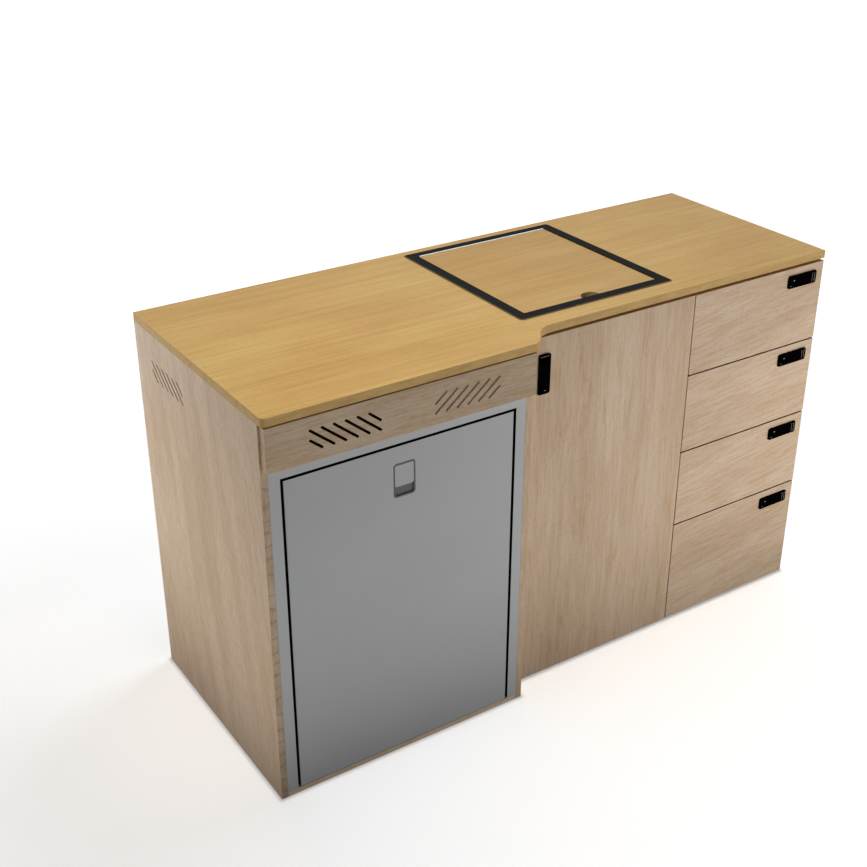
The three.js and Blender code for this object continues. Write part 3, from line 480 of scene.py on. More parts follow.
birch_deep = wood(
    "birch_deep",
    BIRCH,
    BIRCH_SHADE,
    "Y",
    streaks=(40.0, 10.0, 0.3),
    lines=(240.0, 20.0, 0.3),
    patch=(6.0, 3.0),
    seed=7.0,
)

oak_edge_upright = board_edge("oak_edge_upright", (rgb(196, 168, 139), rgb(213, 187, 157)), "Z")
oak_edge_ticked = board_edge("oak_edge_ticked", (rgb(180, 154, 129), rgb(198, 175, 149)), "Z", ticks=True)
# A pale copy of the oak edge: painted light on the edges of the low boards and rails, which lie in shade.
oak_edge_painted_light = board_edge("oak_edge_painted_light", (rgb(222, 196, 165), rgb(236, 212, 182)), "X")
# Darker copies of the oak edge: deeper painted shade in the gaps between drawer fronts, and lighter painted
# shade under the worktop.
oak_edge_deep_painted_shade = board_edge("oak_edge_deep_painted_shade", (rgb(116, 95, 74), rgb(134, 111, 88)), "X")
oak_edge_painted_shade = board_edge("oak_edge_painted_shade", (rgb(158, 132, 104), rgb(176, 150, 120)), "X")
bamboo_edge = board_edge("bamboo_edge", (rgb(194, 157, 98), rgb(208, 172, 110)), "X")
birch_edge = board_edge("birch_edge", (rgb(176, 140, 96), rgb(226, 204, 166)), "Y")

gloss_black = painted("gloss_black", rgb(3, 3, 3), 0.3, grain=0.03, glint=0.001)
# Light brown on the latches: painted reflections on the edges of lips and sills, and the colour of the small
# marks.
glint_and_mark_brown = painted("glint_and_mark_brown", rgb(150, 134, 112), 0.4, grain=0.1, glint=0.2)
# Vent walls: a near-black painted shade for the left group, and a pale painted light for the right one.
slot_painted_shade = painted("slot_painted_shade", rgb(12, 9, 7), 0.8, grain=0.2, glint=0.0)
slot_painted_light = painted("slot_painted_light", rgb(206, 188, 168), 0.8, grain=0.2, glint=0.1)
# Brown rim round the sink's frame: a painted shadow on the worktop.
shadow_rim_brown = painted("shadow_rim_brown", rgb(104, 85, 57), 0.7, grain=0.1, glint=0.1)
# Black: the cabinet's rim round its mouth, and painted shade on the faces of the gap round the fridge's
# door.
rim_black_and_gap_shade = painted("rim_black_and_gap_shade", rgb(8, 8, 8), 0.7, grain=0.1, glint=0.01)
satin_black = painted("satin_black", rgb(42, 42, 42), 0.5, grain=0.15, glint=0.004)
black_enamel = painted("black_enamel", rgb(22, 22, 23), 0.35, grain=0.05)
fridge_grey = painted("fridge_grey", rgb(180, 181, 182), 0.42, grain=0.04, spread=0.012, glint=0.25)
flange_grey = painted("flange_grey", rgb(184, 185, 186), 0.42, grain=0.04, spread=0.012, glint=0.25)
well_grey = painted("well_grey", rgb(112, 112, 112), 0.5, grain=0.1, glint=0.1)
latch_grey = painted("latch_grey", rgb(84, 84, 84), 0.5, grain=0.1)
lining_white = painted("lining_white", rgb(226, 226, 222), 0.5, grain=0.05, spread=0.02, glint=0.3)
rubber = painted("rubber", rgb(13, 13, 14), 0.8, grain=0.2, glint=0.03)
steel = brushed("steel", rgb(205, 206, 208), 0.3, "X")
zinc = brushed("zinc", rgb(188, 191, 196), 0.38, "Y", strength=0.08)
zinc_dull = brushed("zinc_dull", rgb(150, 150, 152), 0.45, "X", strength=0.05)
shelf_glass = clear_glass("shelf_glass", rgb(214, 232, 226))


# Pieces made from the solids

SLOT_OF = {entry["node"]: entry["material_slot"] for entry in frame["record"]["subparts"]}
MERGE_DISTANCE = 1e-6
FLAT_ANGLE = math.radians(0.5)
SHARP_ANGLE = math.radians(30.0)
CREASE_COSINE = math.cos(math.radians(32.0))
ROUND_COSINE = 0.3
LEAST_AREA = 1e-9


def body_of(node):
    return frame["nodes"][node]["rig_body"]


def own(mesh, name, body, slot, materials):
    """A new piece of the pod, on a body, with its materials; the slot is not used."""
    piece = bpy.data.objects.new(name, mesh)
    bpy.context.scene.collection.objects.link(piece)
    for material in materials:
        mesh.materials.append(material)
    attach(piece, body)
    return piece


def corner_normals(form, rounds):
    """Normals that keep flat faces flat, and turn smoothly over the rounds between them."""
    form.normal_update()
    normals = []
    for face in form.faces:
        is_round = face in rounds
        limit = ROUND_COSINE if is_round else CREASE_COSINE
        for loop in face.loops:
            flat = [other for other in loop.vert.link_faces if other not in rounds]
            near = [other for other in flat if other.normal.dot(face.normal) > limit]
            if is_round and not near:
                near = list(loop.vert.link_faces)
            total = Vector()
            for other in near:
                total += other.normal * max(other.calc_area(), LEAST_AREA)
            normals.append(total.normalized() if total.length > 0 else face.normal.copy())
    return normals


def fill_mesh(mesh, form, rounds):
    """Puts the form's faces in a mesh, smooth over the rounds."""
    for face in form.faces:
        face.smooth = True
    normals = corner_normals(form, rounds)
    form.to_mesh(mesh)
    form.free()
    mesh.normals_split_custom_set(normals)


def round_off(form, edges, width, segments):
    """Bevels the edges, and returns the faces that this makes."""
    made = bmesh.ops.bevel(
        form,
        geom=edges,
        offset=width,
        segments=segments,
        profile=0.5,
        affect="EDGES",
        clamp_overlap=True,
    )
    return set(made["faces"])


def eased(node, width, materials, segments=2, pick=None, survey=None):
    """A copy of a solid with its sharp edges rounded off by width, in place of the node.

    Pick gives the number of a face's material, and survey makes such a pick from the whole form.
    """
    mesh = frame["nodes"][node].data.copy()
    mesh.name = f"{node}_eased"
    form = bmesh.new()
    form.from_mesh(mesh)
    bmesh.ops.remove_doubles(form, verts=form.verts, dist=MERGE_DISTANCE)
    bmesh.ops.dissolve_limit(form, angle_limit=FLAT_ANGLE, verts=form.verts, edges=form.edges)
    sharp = [
        edge
        for edge in form.edges
        if edge.is_manifold and edge.calc_face_angle(0.0) > SHARP_ANGLE and edge.calc_length() > width
    ]
    rounds = round_off(form, sharp, width, segments)
    if survey:
        form.normal_update()
        pick = survey(form)
    for face in form.faces:
        face.material_index = pick(face) if pick else 0
    mesh.materials.clear()
    fill_mesh(mesh, form, rounds)
    piece = own(mesh, f"{node}_eased", body_of(node), SLOT_OF[node], materials)
    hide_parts(node)


def finish_cad(node, material):
    """Gives a solid that stays in the scene its material."""
    slots = frame["nodes"][node].data.materials
    slots.clear()
    slots.append(material)


# Which material a face of an eased piece takes

ALONG = 0.9
MOSTLY_ALONG = 0.5
LEVEL_EDGE = 0.3
ROUNDED_TOP = 0.6
UNDERSIDE = -0.98
VENT_INSET = 0.01
RIM_DEPTH = 0.004
RAY_START = 0.0005
FLANGE_GAP = 0.012
SKIN_DEPTH = 0.001
SLIDE_SPACE = 0.0127
SLIDE_MARGIN = 0.0002
FASCIA_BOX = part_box("fridge_fascia")
CABINET_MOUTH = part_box("fridge_cabinet")[0][1]
DOOR_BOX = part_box("fridge_door")


def edge_pick(axis):
    """Material 0 on faces that look along an axis, and 1 on the others."""
    place = "XYZ".index(axis)
    return lambda face: 0 if abs(face.normal[place]) > ALONG else 1


def front_pick(face):
    """Material 0 on a front's two faces, 1 on its side edges, and 2 on its upper and lower edges, which take
    a painted shade.
    """
    if abs(face.normal.y) > ALONG:
        return 0
    return 2 if abs(face.normal.z) > LEVEL_EDGE else 1


def top_pick(face):
    """Material 0 on the level faces and the rounded upper edge, and 1 on the cut edges."""
    return 0 if face.normal.z > ROUNDED_TOP or face.normal.z < UNDERSIDE else 1


def fascia_pick(face):
    """Material 0 on the board's faces, 4 on its upper edge, in painted shade, 1 on its other outer edges.

    The vents' walls take 2, a dark painted shade, in the left group and 3, a pale painted light, in the
    right one.
    """
    if abs(face.normal.y) > ALONG:
        return 0
    middle = face.calc_center_median()
    low, high = FASCIA_BOX
    inside = min(middle.x - low[0], high[0] - middle.x, middle.z - low[2], high[2] - middle.z)
    if inside < VENT_INSET:
        return 4 if face.normal.z > ALONG else 1
    return 2 if middle.x < (low[0] + high[0]) / 2 else 3


def cabinet_pick(form):
    """Material 0 on the lining, 1 on the rim round the mouth, and 2 on the shell.

    A face of the lining looks at the cabinet itself, or out through its mouth.
    """
    tree = BVHTree.FromBMesh(form)

    def pick(face):
        middle = face.calc_center_median()
        if face.normal.y < -MOSTLY_ALONG:
            return 1 if middle.y < CABINET_MOUTH + RIM_DEPTH else 0
        seen = tree.ray_cast(middle + face.normal * RAY_START, face.normal)[0]
        return 0 if seen else 2

    return pick


def flange_pick(face):
    """Material 0 on the flange, and 1, a black painted shade, where it faces the fridge's door."""
    if abs(face.normal.y) > MOSTLY_ALONG:
        return 0
    middle = face.calc_center_median()
    low, high = DOOR_BOX
    near = max(low[0] - middle.x, middle.x - high[0], middle.z - high[2], low[2] - middle.z)
    towards = Vector(((low[0] + high[0]) / 2 - middle.x, 0.0, (low[2] + high[2]) / 2 - middle.z))
    return 1 if near < FLANGE_GAP and face.normal.dot(towards) > 0 else 0


def door_pick(face):
    """Material 0 on the door's front, 1 on the sides that face the flange, in black painted shade, and 2 on
    the back.
    """
    if face.normal.y > ALONG and face.calc_center_median().y > DOOR_BOX[1][1] - SKIN_DEPTH:
        return 2
    return 1 if abs(face.normal.y) < MOSTLY_ALONG else 0


def box_pick(number):
    """Material 0 on a drawer box, 1 on its upper edges, and 2 on the slide members at its sides."""
    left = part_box("drawer_divider")[1][0] + SLIDE_SPACE - SLIDE_MARGIN
    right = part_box("right_end_panel")[0][0] - SLIDE_SPACE + SLIDE_MARGIN
    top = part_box(f"drawer_{number}_box")[1][2] - SKIN_DEPTH

    def pick(face):
        middle = face.calc_center_median()
        if middle.x < left or middle.x > right:
            return 2
        return 1 if abs(face.normal.z) > ALONG and middle.z > top else 0

    return pick


# Every node gets an eased piece or a new material

BOARD_EASE = 0.0006
FRONT_EASE = 0.0009
WORKTOP_EASE = 0.0022
LID_EASE = 0.0008
DRAWER_BOX_EASE = 0.0004
LATCH_EASE = 0.0007
METAL_EASE = 0.0006
FRIDGE_DOOR_EASE = 0.0012
PAD_EASE = 0.0008
CABINET_EASE = 0.001


def finish_latch(owner):
    for part in ("bezel", "paddle"):
        eased(f"{owner}_latch_{part}", LATCH_EASE, [gloss_black])


def finish_drawer(number):
    # Painted shade on the front's upper and lower edges: lighter for the top drawer under the worktop,
    # deeper in the gaps below.
    upper = oak_edge_painted_shade if number == 1 else oak_edge_deep_painted_shade
    eased(f"drawer_{number}_front", FRONT_EASE, [oak_slanted, oak_edge_upright, upper], pick=front_pick)
    plywood = [birch_deep, birch_edge, zinc]
    eased(f"drawer_{number}_box", DRAWER_BOX_EASE, plywood, segments=1, pick=box_pick(number))
    finish_latch(f"drawer_{number}")
    for side in SIDES:
        finish_cad(f"drawer_{number}_runner_{side}", zinc)


eased("left_end_panel", BOARD_EASE, [oak_side, oak_edge_ticked], pick=edge_pick("X"))
for node in ("fridge_divider", "drawer_divider", "right_end_panel"):
    eased(node, BOARD_EASE, [oak_side, oak_edge_upright], pick=edge_pick("X"))
for node in ("fridge_base", "main_base", "front_rail"):
    eased(node, BOARD_EASE, [oak_level, oak_edge_painted_light], pick=edge_pick("Z"))
for node in ("back_rail_upper", "back_rail_lower", "fridge_back_rail"):
    eased(node, BOARD_EASE, [oak_level, oak_edge_painted_light], pick=edge_pick("Y"))
eased(
    "fridge_fascia",
    BOARD_EASE,
    [oak_fascia, oak_edge_upright, slot_painted_shade, slot_painted_light, oak_edge_painted_shade],
    pick=fascia_pick,
)
eased("cupboard_door", FRONT_EASE, [oak_upright, oak_edge_upright, oak_edge_painted_shade], pick=front_pick)
eased("worktop", WORKTOP_EASE, [bamboo_level, bamboo_edge], segments=3, pick=top_pick)
eased("sink_lid", LID_EASE, [bamboo_lid, bamboo_edge], pick=top_pick)
for number in DRAWERS:
    finish_drawer(number)
finish_latch("cupboard_door")
eased("sink_frame", METAL_EASE, [satin_black])
eased("fridge_flange", METAL_EASE, [flange_grey, rim_black_and_gap_shade], pick=flange_pick)
eased("fridge_door", FRIDGE_DOOR_EASE, [fridge_grey, rim_black_and_gap_shade, lining_white], segments=3, pick=door_pick)
eased("fridge_latch_dish", METAL_EASE, [latch_grey])
eased("fridge_latch_pad", PAD_EASE, [fridge_grey])
for node in ("sink_bowl", "sink_waste", "lid_hinge_fixed_leaf", "lid_hinge_lid_leaf"):
    finish_cad(node, steel)
eased("fridge_cabinet", CABINET_EASE, [lining_white, rim_black_and_gap_shade, black_enamel], survey=cabinet_pick)
finish_cad("fridge_shelf", shelf_glass)
finish_cad("fridge_door_gasket", rubber)
for node in ("fridge_hinge_pin_upper", "fridge_hinge_pin_lower", "fridge_condenser"):
    finish_cad(node, zinc)
for place in PLACES:
    finish_cad(f"hinge_cup_{place}", zinc)
    finish_cad(f"hinge_arm_{place}", zinc)


# Shapes for the small parts that stay out of the solids

AS_DRAWN = Matrix()
SMALL_EASE = 0.0003
UPRIGHT = Matrix.Rotation(math.radians(90.0), 4, "X")


def settle(form, rounds, name, body, slot, material, place):
    """A piece of the pod from a form, moved by the matrix that place gives."""
    form.transform(place)
    mesh = bpy.data.meshes.new(name)
    fill_mesh(mesh, form, rounds)
    return own(mesh, name, body, slot, [material])


def bar(name, body, slot, material, low, high, place=AS_DRAWN, width=SMALL_EASE, segments=2):
    """A block between two corners with rounded edges, in the frame that place gives."""
    form = bmesh.new()
    bmesh.ops.create_cube(form, size=1.0)
    for vert in form.verts:
        vert.co = Vector(low[axis] + (vert.co[axis] + 0.5) * (high[axis] - low[axis]) for axis in range(3))
    rounds = round_off(form, list(form.edges), width, segments)
    return settle(form, rounds, name, body, slot, material, place)


def turned(name, body, slot, material, profile, place, steps=24):
    """A solid turned about the frame's Y axis from (radius, depth) pairs that start and end on the axis."""
    form = bmesh.new()
    angles = [2 * math.pi * step / steps for step in range(steps)]
    rings = []
    for radius, depth in profile:
        around = angles if radius else [0.0]
        rings.append([form.verts.new((radius * math.cos(a), depth, radius * math.sin(a))) for a in around])
    for one, other in zip(rings, rings[1:]):
        for step in range(steps):
            after = (step + 1) % steps
            corners = [one[step % len(one)], one[after % len(one)]]
            corners += [other[after % len(other)], other[step % len(other)]]
            form.faces.new(list(dict.fromkeys(corners)))
    bmesh.ops.recalc_face_normals(form, faces=form.faces)
    return settle(form, set(), name, body, slot, material, place)


# Paddle latches: low and high corners from the middle of the latch's front

LIP = ((0.0285, 0.0, -0.0119), (0.0328, 0.0014, 0.0119))
# A light strip on the lip's tip: a painted reflection.
LIP_GLINT = ((0.0325, -0.0001, -0.0114), (0.0335, 0.0013, 0.0114))
SILL = ((0.0412, 0.0002, -0.0126), (0.0438, 0.0014, 0.0126))
# A light strip on the sill: a painted reflection.
SILL_GLINT = ((0.0402, 0.0001, -0.0114), (0.0412, 0.0012, 0.0114))
MARK = ((-0.0385, -0.0002, -0.0098), (-0.0345, 0.0008, -0.0087))
MARK_IF_UPRIGHT = ((-0.0386, -0.0002, -0.0055), (-0.0373, 0.0008, 0.0005))
# A light metal dot on the paddle, a painted highlight: its profile, its spot and how much it is widened.
HIGHLIGHT_DOT = ((0.0, -0.0003), (0.0011, -0.0002), (0.0017, 0.0002), (0.0017, 0.0012), (0.0, 0.0012))
HIGHLIGHT_DOT_SPOT = (-0.0285, 0.0003, 0.0034)
HIGHLIGHT_DOT_WIDENED = 1.7


def latch_frame(owner, upright):
    """The latch's own frame: X towards the finger end, Y into the board, the origin on the bezel's front."""
    low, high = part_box(f"{owner}_latch_bezel")
    middle = Vector(((low[0] + high[0]) / 2, low[1], (low[2] + high[2]) / 2))
    turn = Matrix.Rotation(math.radians(-90.0), 4, "Y") if upright else AS_DRAWN
    return Matrix.Translation(middle) @ turn


def latch_details(owner, upright=False):
    """A lip on the paddle's finger end, the sill of the finger slot, a light mark, and a light metal dot on
    the paddle. The light edges of lip and sill are painted reflections, and the dot is a painted highlight.

    The upright latch shows no painted highlight: no light edge on its lip and no dot.
    """
    place = latch_frame(owner, upright)
    slot = SLOT_OF[f"{owner}_latch_paddle"]
    paddle = body_of(f"{owner}_latch_paddle")
    bezel = body_of(f"{owner}_latch_bezel")
    bar(f"{owner}_latch_lip", paddle, slot, gloss_black, *LIP, place)
    if not upright:
        # Painted reflection on the lip's tip.
        bar(f"{owner}_latch_lip_glint", paddle, slot, glint_and_mark_brown, *LIP_GLINT, place)
    bar(f"{owner}_latch_sill", bezel, slot, gloss_black, *SILL, place)
    # Painted reflection on the sill.
    bar(f"{owner}_latch_sill_glint", bezel, slot, glint_and_mark_brown, *SILL_GLINT, place)
    mark = MARK_IF_UPRIGHT if upright else MARK
    bar(f"{owner}_latch_mark", paddle, slot, glint_and_mark_brown, *mark, place)
    # Painted highlight: a light metal dot, left off the upright latch.
    if not upright:
        spot = Matrix.Translation(HIGHLIGHT_DOT_SPOT) @ Matrix.Diagonal((HIGHLIGHT_DOT_WIDENED, 1.0, 1.0, 1.0))
        turned(f"{owner}_latch_highlight_dot", paddle, slot, zinc, HIGHLIGHT_DOT, place @ spot)


# Screws

SCREW = (
    (0.0, 0.0007),
    (0.0006, 0.0007),
    (0.0008, 0.0),
    (0.0022, -0.0002),
    (0.0034, 0.0003),
    (0.0034, 0.0014),
    (0.0, 0.0014),
)
SCREW_STEPS = 16
CUP_SCREW_IN = 0.0043
ARM_PLATE_FACE = 0.0023
ARM_SCREW_IN = 0.015
ARM_SCREW_END = 0.007
RUNNER_SHEET = 0.0012
RUNNER_SCREWS = (0.08, 0.5, 0.92)


def screws(node, places, looks):
    """Countersunk screw heads in a node, at the places, on a surface that looks along an axis."""
    turn = Vector((0.0, -1.0, 0.0)).rotation_difference(Vector(looks)).to_matrix().to_4x4()
    for index, place in enumerate(places, 1):
        spot = Matrix.Translation(place) @ turn
        name = f"{node}_screw_{index}"
        turned(name, body_of(node), SLOT_OF[node], zinc_dull, SCREW, spot, steps=SCREW_STEPS)


def hinge_screws(place):
    """Two screws through each cup's flange, and two through each arm's plate."""
    cup = f"hinge_cup_{place}"
    low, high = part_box(cup)
    x = (low[0] + high[0]) / 2
    screws(cup, [(x, high[1], z) for z in (low[2] + CUP_SCREW_IN, high[2] - CUP_SCREW_IN)], (0.0, 1.0, 0.0))
    arm = f"hinge_arm_{place}"
    low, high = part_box(arm)
    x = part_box("drawer_divider")[0][0] - ARM_PLATE_FACE
    y = high[1] - ARM_SCREW_IN
    screws(arm, [(x, y, z) for z in (low[2] + ARM_SCREW_END, high[2] - ARM_SCREW_END)], (-1.0, 0.0, 0.0))


def runner_screws(number, side):
    """Three screws through the web of a runner."""
    node = f"drawer_{number}_runner_{side}"
    low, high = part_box(node)
    inward = 1.0 if side == "left" else -1.0
    x = low[0] + RUNNER_SHEET if side == "left" else high[0] - RUNNER_SHEET
    middle = (low[2] + high[2]) / 2
    spots = [(x, low[1] + share * (high[1] - low[1]), middle) for share in RUNNER_SCREWS]
    screws(node, spots, (inward, 0.0, 0.0))


# Painted shadow of the sink's frame on the worktop, as a brown rim: how far out from the frame, and how high
# above the worktop

SHADOW_RIM_PROFILE = ((-0.0004, 0.0014), (0.0012, 0.0013), (0.0042, 0.0001), (-0.0004, 0.0001))
SHADOW_RIM_CORNER = 0.006
SHADOW_RIM_TURN = 22.5
SHADOW_RIM_POINTS = 5


def shadow_rim_ring(form, low, high, grow, height):
    """The corners of the frame's rounded outline, grown by a distance, at a height."""
    left, right = low[0] + SHADOW_RIM_CORNER, high[0] - SHADOW_RIM_CORNER
    front, back = low[1] + SHADOW_RIM_CORNER, high[1] - SHADOW_RIM_CORNER
    radius = SHADOW_RIM_CORNER + grow
    ring = []
    for quarter, (x, y) in enumerate(((right, back), (left, back), (left, front), (right, front))):
        for step in range(SHADOW_RIM_POINTS):
            angle = math.radians(90.0 * quarter + SHADOW_RIM_TURN * step)
            ring.append(form.verts.new((x + radius * math.cos(angle), y + radius * math.sin(angle), height)))
    return ring


def sink_shadow_rim():
    """A brown rim between the sink's frame and the worktop: a painted shadow of the frame."""
    low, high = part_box("sink_frame")
    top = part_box("worktop")[1][2]
    form = bmesh.new()
    rings = [shadow_rim_ring(form, low, high, grow, top + height) for grow, height in SHADOW_RIM_PROFILE]
    for ring, other in zip(rings, rings[1:] + rings[:1]):
        for step in range(len(ring)):
            after = (step + 1) % len(ring)
            form.faces.new((ring[step], ring[after], other[after], other[step]))
    bmesh.ops.recalc_face_normals(form, faces=form.faces)
    settle(form, set(), "sink_shadow_rim", body_of("sink_frame"), SLOT_OF["sink_frame"], shadow_rim_brown, AS_DRAWN)


# Compressor: the pot in shares of the solid's half depth and of its height

POT_RADIUS = 0.95
SEAM_RADIUS = 0.99
SEAM = ((POT_RADIUS, 0.5), (SEAM_RADIUS, 0.49), (SEAM_RADIUS, 0.45))
UPPER_DOME = (0.55, 0.45)
LOWER_DOME = (0.42, 0.36)
DOME_TURN = 10.0
DOME_POINTS = 10
POT_STEPS = 48
FOOT = (
    (0.0, 0.012),
    (0.007, 0.012),
    (0.0085, 0.009),
    (0.0075, 0.006),
    (0.0095, 0.003),
    (0.0095, 0.0),
    (0.0, 0.0),
)
FOOT_OUT = (0.78, 0.72)
PLATE_THICK = 0.003
PLATE_EASE = 0.0012
TERMINALS = ((-0.012, -0.022, -0.026), (0.014, 0.022, 0.026))
TERMINALS_OUT = 0.79
TERMINALS_EASE = 0.003


def dome(first, level, rise):
    """A quarter of the pot's outline, downwards from an angle in degrees about a level."""
    turns = [math.radians(first - DOME_TURN * step) for step in range(DOME_POINTS)]
    return [(POT_RADIUS * math.cos(turn), level + rise * math.sin(turn)) for turn in turns]


def compressor():
    """The compressor's pot with its welded seam, terminal cover and feet, on a plate."""
    node = "fridge_compressor"
    body = body_of(node)
    slot = SLOT_OF[node]
    low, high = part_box(node)
    height = high[2] - low[2]
    half = (high[0] - low[0]) / 2
    reach = (high[1] - low[1]) / 2
    level = Matrix.Translation(((low[0] + high[0]) / 2, (low[1] + high[1]) / 2, low[2]))
    shares = [*dome(90.0, *UPPER_DOME), *SEAM, *dome(0.0, *LOWER_DOME)]
    profile = [(reach * radius, height * rise) for radius, rise in shares]
    profile[0] = (0.0, profile[0][1])
    profile[-1] = (0.0, profile[-1][1])
    pot = turned(f"{node}_pot", body, slot, black_enamel, profile, level @ UPRIGHT, steps=POT_STEPS)
    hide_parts(node)
    plate = ((-half, -reach, 0.0), (half, reach, PLATE_THICK))
    bar(f"{node}_plate", body, slot, black_enamel, *plate, level, width=PLATE_EASE)
    for side, x in (("l", -half), ("r", half)):
        for end, y in (("f", -reach), ("b", reach)):
            foot = Matrix.Translation((x * FOOT_OUT[0], y * FOOT_OUT[1], PLATE_THICK))
            turned(f"{node}_foot_{side}{end}", body, slot, rubber, FOOT, level @ foot @ UPRIGHT)
    cover = level @ Matrix.Translation((half * TERMINALS_OUT, 0.0, height / 2))
    bar(f"{node}_terminals", body, slot, satin_black, *TERMINALS, cover, width=TERMINALS_EASE)


# Inside of the fridge's latch and of its door

WELL_DEPTH = 0.0032
WELL_THICK = 0.0016
WELL_LEFT_IN = 0.002
WELL_RIGHT_IN = 0.0012
WELL_BOTTOM_IN = 0.0015
WELL_UNDER_PAD = 0.0003
WELL_EASE = 0.0005
LINER_SIDE_IN = 0.03
LINER_END_IN = 0.048
LINER_OFF_DOOR = 0.0001
LINER_RISE = 0.007
LINER_EASE = 0.004


def latch_well():
    """The finger plate in the open part of the fridge latch's dish, below the pad."""
    node = "fridge_latch_dish"
    low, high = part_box(node)
    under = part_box("fridge_latch_pad")[0][2]
    front = low[1] + WELL_DEPTH
    near = (low[0] + WELL_LEFT_IN, front, low[2] + WELL_BOTTOM_IN)
    far = (high[0] - WELL_RIGHT_IN, front + WELL_THICK, under - WELL_UNDER_PAD)
    bar("fridge_latch_well", body_of(node), SLOT_OF[node], well_grey, near, far, width=WELL_EASE)


def door_liner():
    """The raised white panel inside the fridge door, within its gasket."""
    low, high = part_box("fridge_door_gasket")
    back = DOOR_BOX[1][1]
    near = (low[0] + LINER_SIDE_IN, back + LINER_OFF_DOOR, low[2] + LINER_END_IN)
    far = (high[0] - LINER_SIDE_IN, back + LINER_RISE, high[2] - LINER_END_IN)
    body = body_of("fridge_door")
    slot = SLOT_OF["fridge_cabinet"]
    bar("fridge_door_liner", body, slot, lining_white, near, far, width=LINER_EASE, segments=4)


for number in DRAWERS:
    latch_details(f"drawer_{number}")
    for side in SIDES:
        runner_screws(number, side)
for place in PLACES:
    hinge_screws(place)
compressor()
latch_well()
door_liner()
latch_details("cupboard_door", upright=True)
sink_shadow_rim()


# Floor and world

FLOOR_REACH = 14.0
FLOOR_DROP = 0.0004
FLOOR_CATCH = (0.75, 0.7725, 0.8025, 1.0)
GLOW_COLOUR = (1.0, 0.99, 0.975, 1.0)
GLOW_LIMITS = (0.5, 2.5)
GLOW_STRENGTHS = (0.6, 1.0)
# A painted contact shadow on the floor, along the pod's edges.
CONTACT_SHADOW_COLOUR = (0.1, 0.09, 0.08, 1.0)
CONTACT_SHADOW_REACH = 0.012
CONTACT_SHADOW_STRENGTH = 0.42
# The floor for other rays: a glow that is a painted light on the pod, dark near the pod as a painted shade
# on its lower parts.
BOUNCE_REACH = 1.6
BOUNCE_PLACES = (0.0, 0.13, 0.38, 0.55, 1.0)
BOUNCE_TONES = (grey(0.08), grey(0.08), grey(0.85), grey(0.85), grey(0.2))
FLOOR_GLOW_LIGHT = 1.5
WORLD_COLOUR = (1.0, 0.99, 0.98, 1.0)
WORLD_LIGHT = 0.1
OBJECT_ONLY = bpy.data.collections.new("object_only")


def footprints():
    """The floor under the deeper fridge end and under the rest of the pod, as low and high corners."""
    low, high = cad_box
    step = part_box("fridge_divider")[1][0]
    fridge_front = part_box("left_end_panel")[0][1]
    main_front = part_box("cupboard_door")[0][1]
    fridge_end = ((low[0], fridge_front), (step, high[1]))
    main_part = ((step, main_front), (high[0], high[1]))
    return fridge_end, main_part


def floor_distance(tree, rectangles):
    """How far a floor point lies from the nearest of the rectangles, each given by two corners."""
    position = tree.add("ShaderNodeNewGeometry").outputs["Position"]
    place = tree.add("ShaderNodeSeparateXYZ", {0: position}).outputs
    nearest = None
    for low, high in rectangles:
        squares = []
        for axis in range(2):
            off = tree.math("ABSOLUTE", tree.math("SUBTRACT", place[axis], (low[axis] + high[axis]) / 2))
            gap = tree.math("MAXIMUM", tree.math("SUBTRACT", off, (high[axis] - low[axis]) / 2), 0.0)
            squares.append(tree.math("MULTIPLY", gap, gap))
        distance = tree.math("SQRT", tree.math("ADD", *squares))
        nearest = distance if nearest is None else tree.math("MINIMUM", nearest, distance)
    return nearest


def seen_directly(tree):
    """1 for rays from the camera, mirrored or passed on by glass, and 0 for the others."""
    path = tree.add("ShaderNodeLightPath").outputs
    mirrored = tree.math("MAXIMUM", path["Is Glossy Ray"], path["Is Transmission Ray"])
    return tree.math("MAXIMUM", path["Is Camera Ray"], mirrored)


def shown_floor(tree, distance):
    """The floor as it is seen: near white, with the pod's shadow and a narrow painted contact shadow along
    its edges.
    """
    lit = tree.diffuse(FLOOR_CATCH)
    strength = ranged(tree, distance, *GLOW_LIMITS, *GLOW_STRENGTHS, kind="LINEAR")
    open_floor = tree.both(tree.both(lit, lit), tree.emission(GLOW_COLOUR, strength))
    # Painted contact shadow along the pod's footprint.
    edge = ranged(tree, floor_distance(tree, footprints()), 0.0, CONTACT_SHADOW_REACH, CONTACT_SHADOW_STRENGTH, 0.0)
    return tree.blend(edge, open_floor, tree.diffuse(CONTACT_SHADOW_COLOUR))


def floor_bounce_and_glow(tree, distance):
    """The floor as it lights the pod: a glow of painted light, dark near the pod as painted shade."""
    tone = tree.ramp(tree.math("MULTIPLY", distance, 1.0 / BOUNCE_REACH), BOUNCE_PLACES, BOUNCE_TONES)
    return tree.both(tree.diffuse(tone), tree.emission(tone, FLOOR_GLOW_LIGHT))


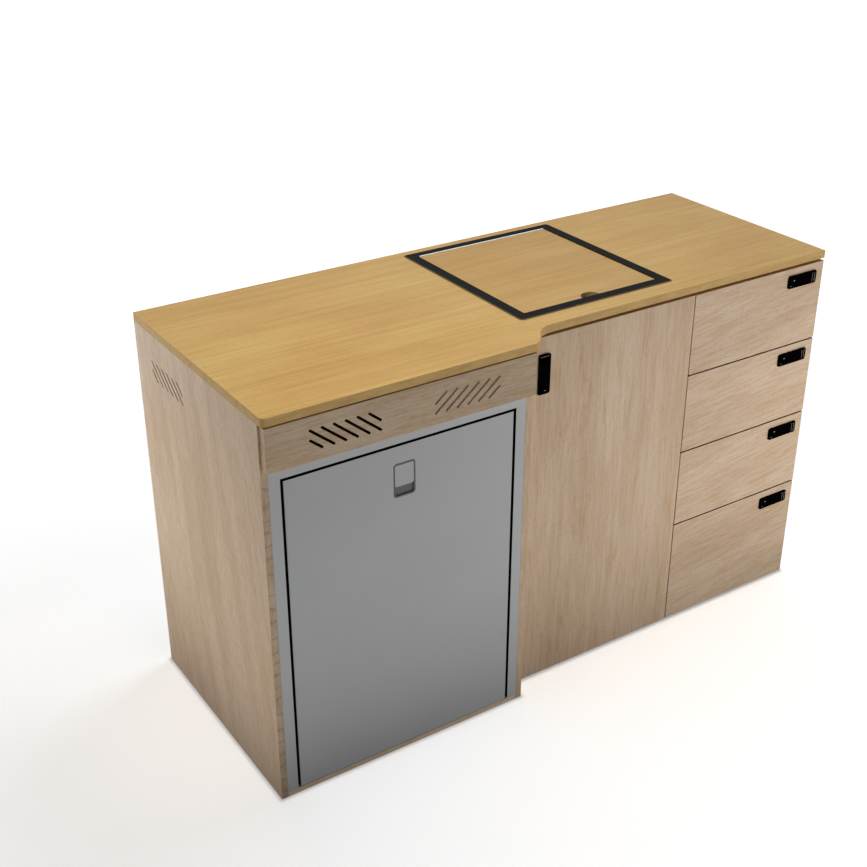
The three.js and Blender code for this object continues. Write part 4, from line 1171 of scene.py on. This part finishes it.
def make_floor():
    """A large square just under the pod, which the lamps for the object only leave unlit."""
    mesh = bpy.data.meshes.new("floor")
    reach = FLOOR_REACH
    corners = [(-reach, -reach, 0), (reach, -reach, 0), (reach, reach, 0), (-reach, reach, 0)]
    mesh.from_pydata(corners, [], [(0, 1, 2, 3)])
    floor = bpy.data.objects.new("floor", mesh)
    floor.location.z = -FLOOR_DROP
    bpy.context.scene.collection.objects.link(floor)
    material = bpy.data.materials.new("floor")
    tree = Tree(material)
    distance = floor_distance(tree, [cad_box])
    surface = tree.blend(seen_directly(tree), floor_bounce_and_glow(tree, distance), shown_floor(tree, distance))
    tree.add("ShaderNodeOutputMaterial", {"Surface": surface})
    mesh.materials.append(material)
    OBJECT_ONLY.objects.link(floor)
    OBJECT_ONLY.collection_objects[0].light_linking.link_state = "EXCLUDE"


def make_world():
    """White where it is seen directly, and a weak light elsewhere."""
    world = bpy.data.worlds.new("studio")
    bpy.context.scene.world = world
    tree = Tree(world)
    light = tree.background(WORLD_COLOUR, WORLD_LIGHT)
    surface = tree.blend(seen_directly(tree), light, tree.background(grey(1.0), 1.0))
    tree.add("ShaderNodeOutputWorld", {"Surface": surface})


# Lamps

POD_AIM = (0.0, 0.0, 0.45)
WORKTOP_AIM = (-0.5, -0.2, 0.9)


def lamp(name, bearing, distance, height, size, power, aim=POD_AIM, object_only=True):
    """A soft box at a bearing in degrees, a level distance from the pod's middle and a height."""
    turn = math.radians(bearing)
    place = Vector((distance * math.cos(turn), distance * math.sin(turn), height))
    data = bpy.data.lights.new(name, "AREA")
    data.shape = "RECTANGLE"
    data.size, data.size_y = size
    data.energy = power
    light = bpy.data.objects.new(name, data)
    light.location = place
    light.rotation_euler = (Vector(aim) - place).to_track_quat("-Z", "Y").to_euler()
    bpy.context.scene.collection.objects.link(light)
    if object_only:
        light.light_linking.receiver_collection = OBJECT_ONLY


make_floor()
make_world()
lamp("key", 20.0, distance=1.3, height=3.2, size=(1.8, 1.8), power=24.0, object_only=False)
lamp("top_fill", 203.0, distance=0.72, height=2.4, size=(0.5, 0.5), power=12.0, aim=WORKTOP_AIM)
lamp("front_fill", 307.0, distance=1.6, height=0.38, size=(0.9, 0.4), power=7.0)
lamp("side_fill", 120.0, distance=1.6, height=0.6, size=(0.9, 0.7), power=8.5)
lamp("left_fill", 167.0, distance=1.5, height=0.47, size=(0.8, 0.6), power=1.9)
place_camera()
bpy.context.scene.view_settings.view_transform = "Standard"
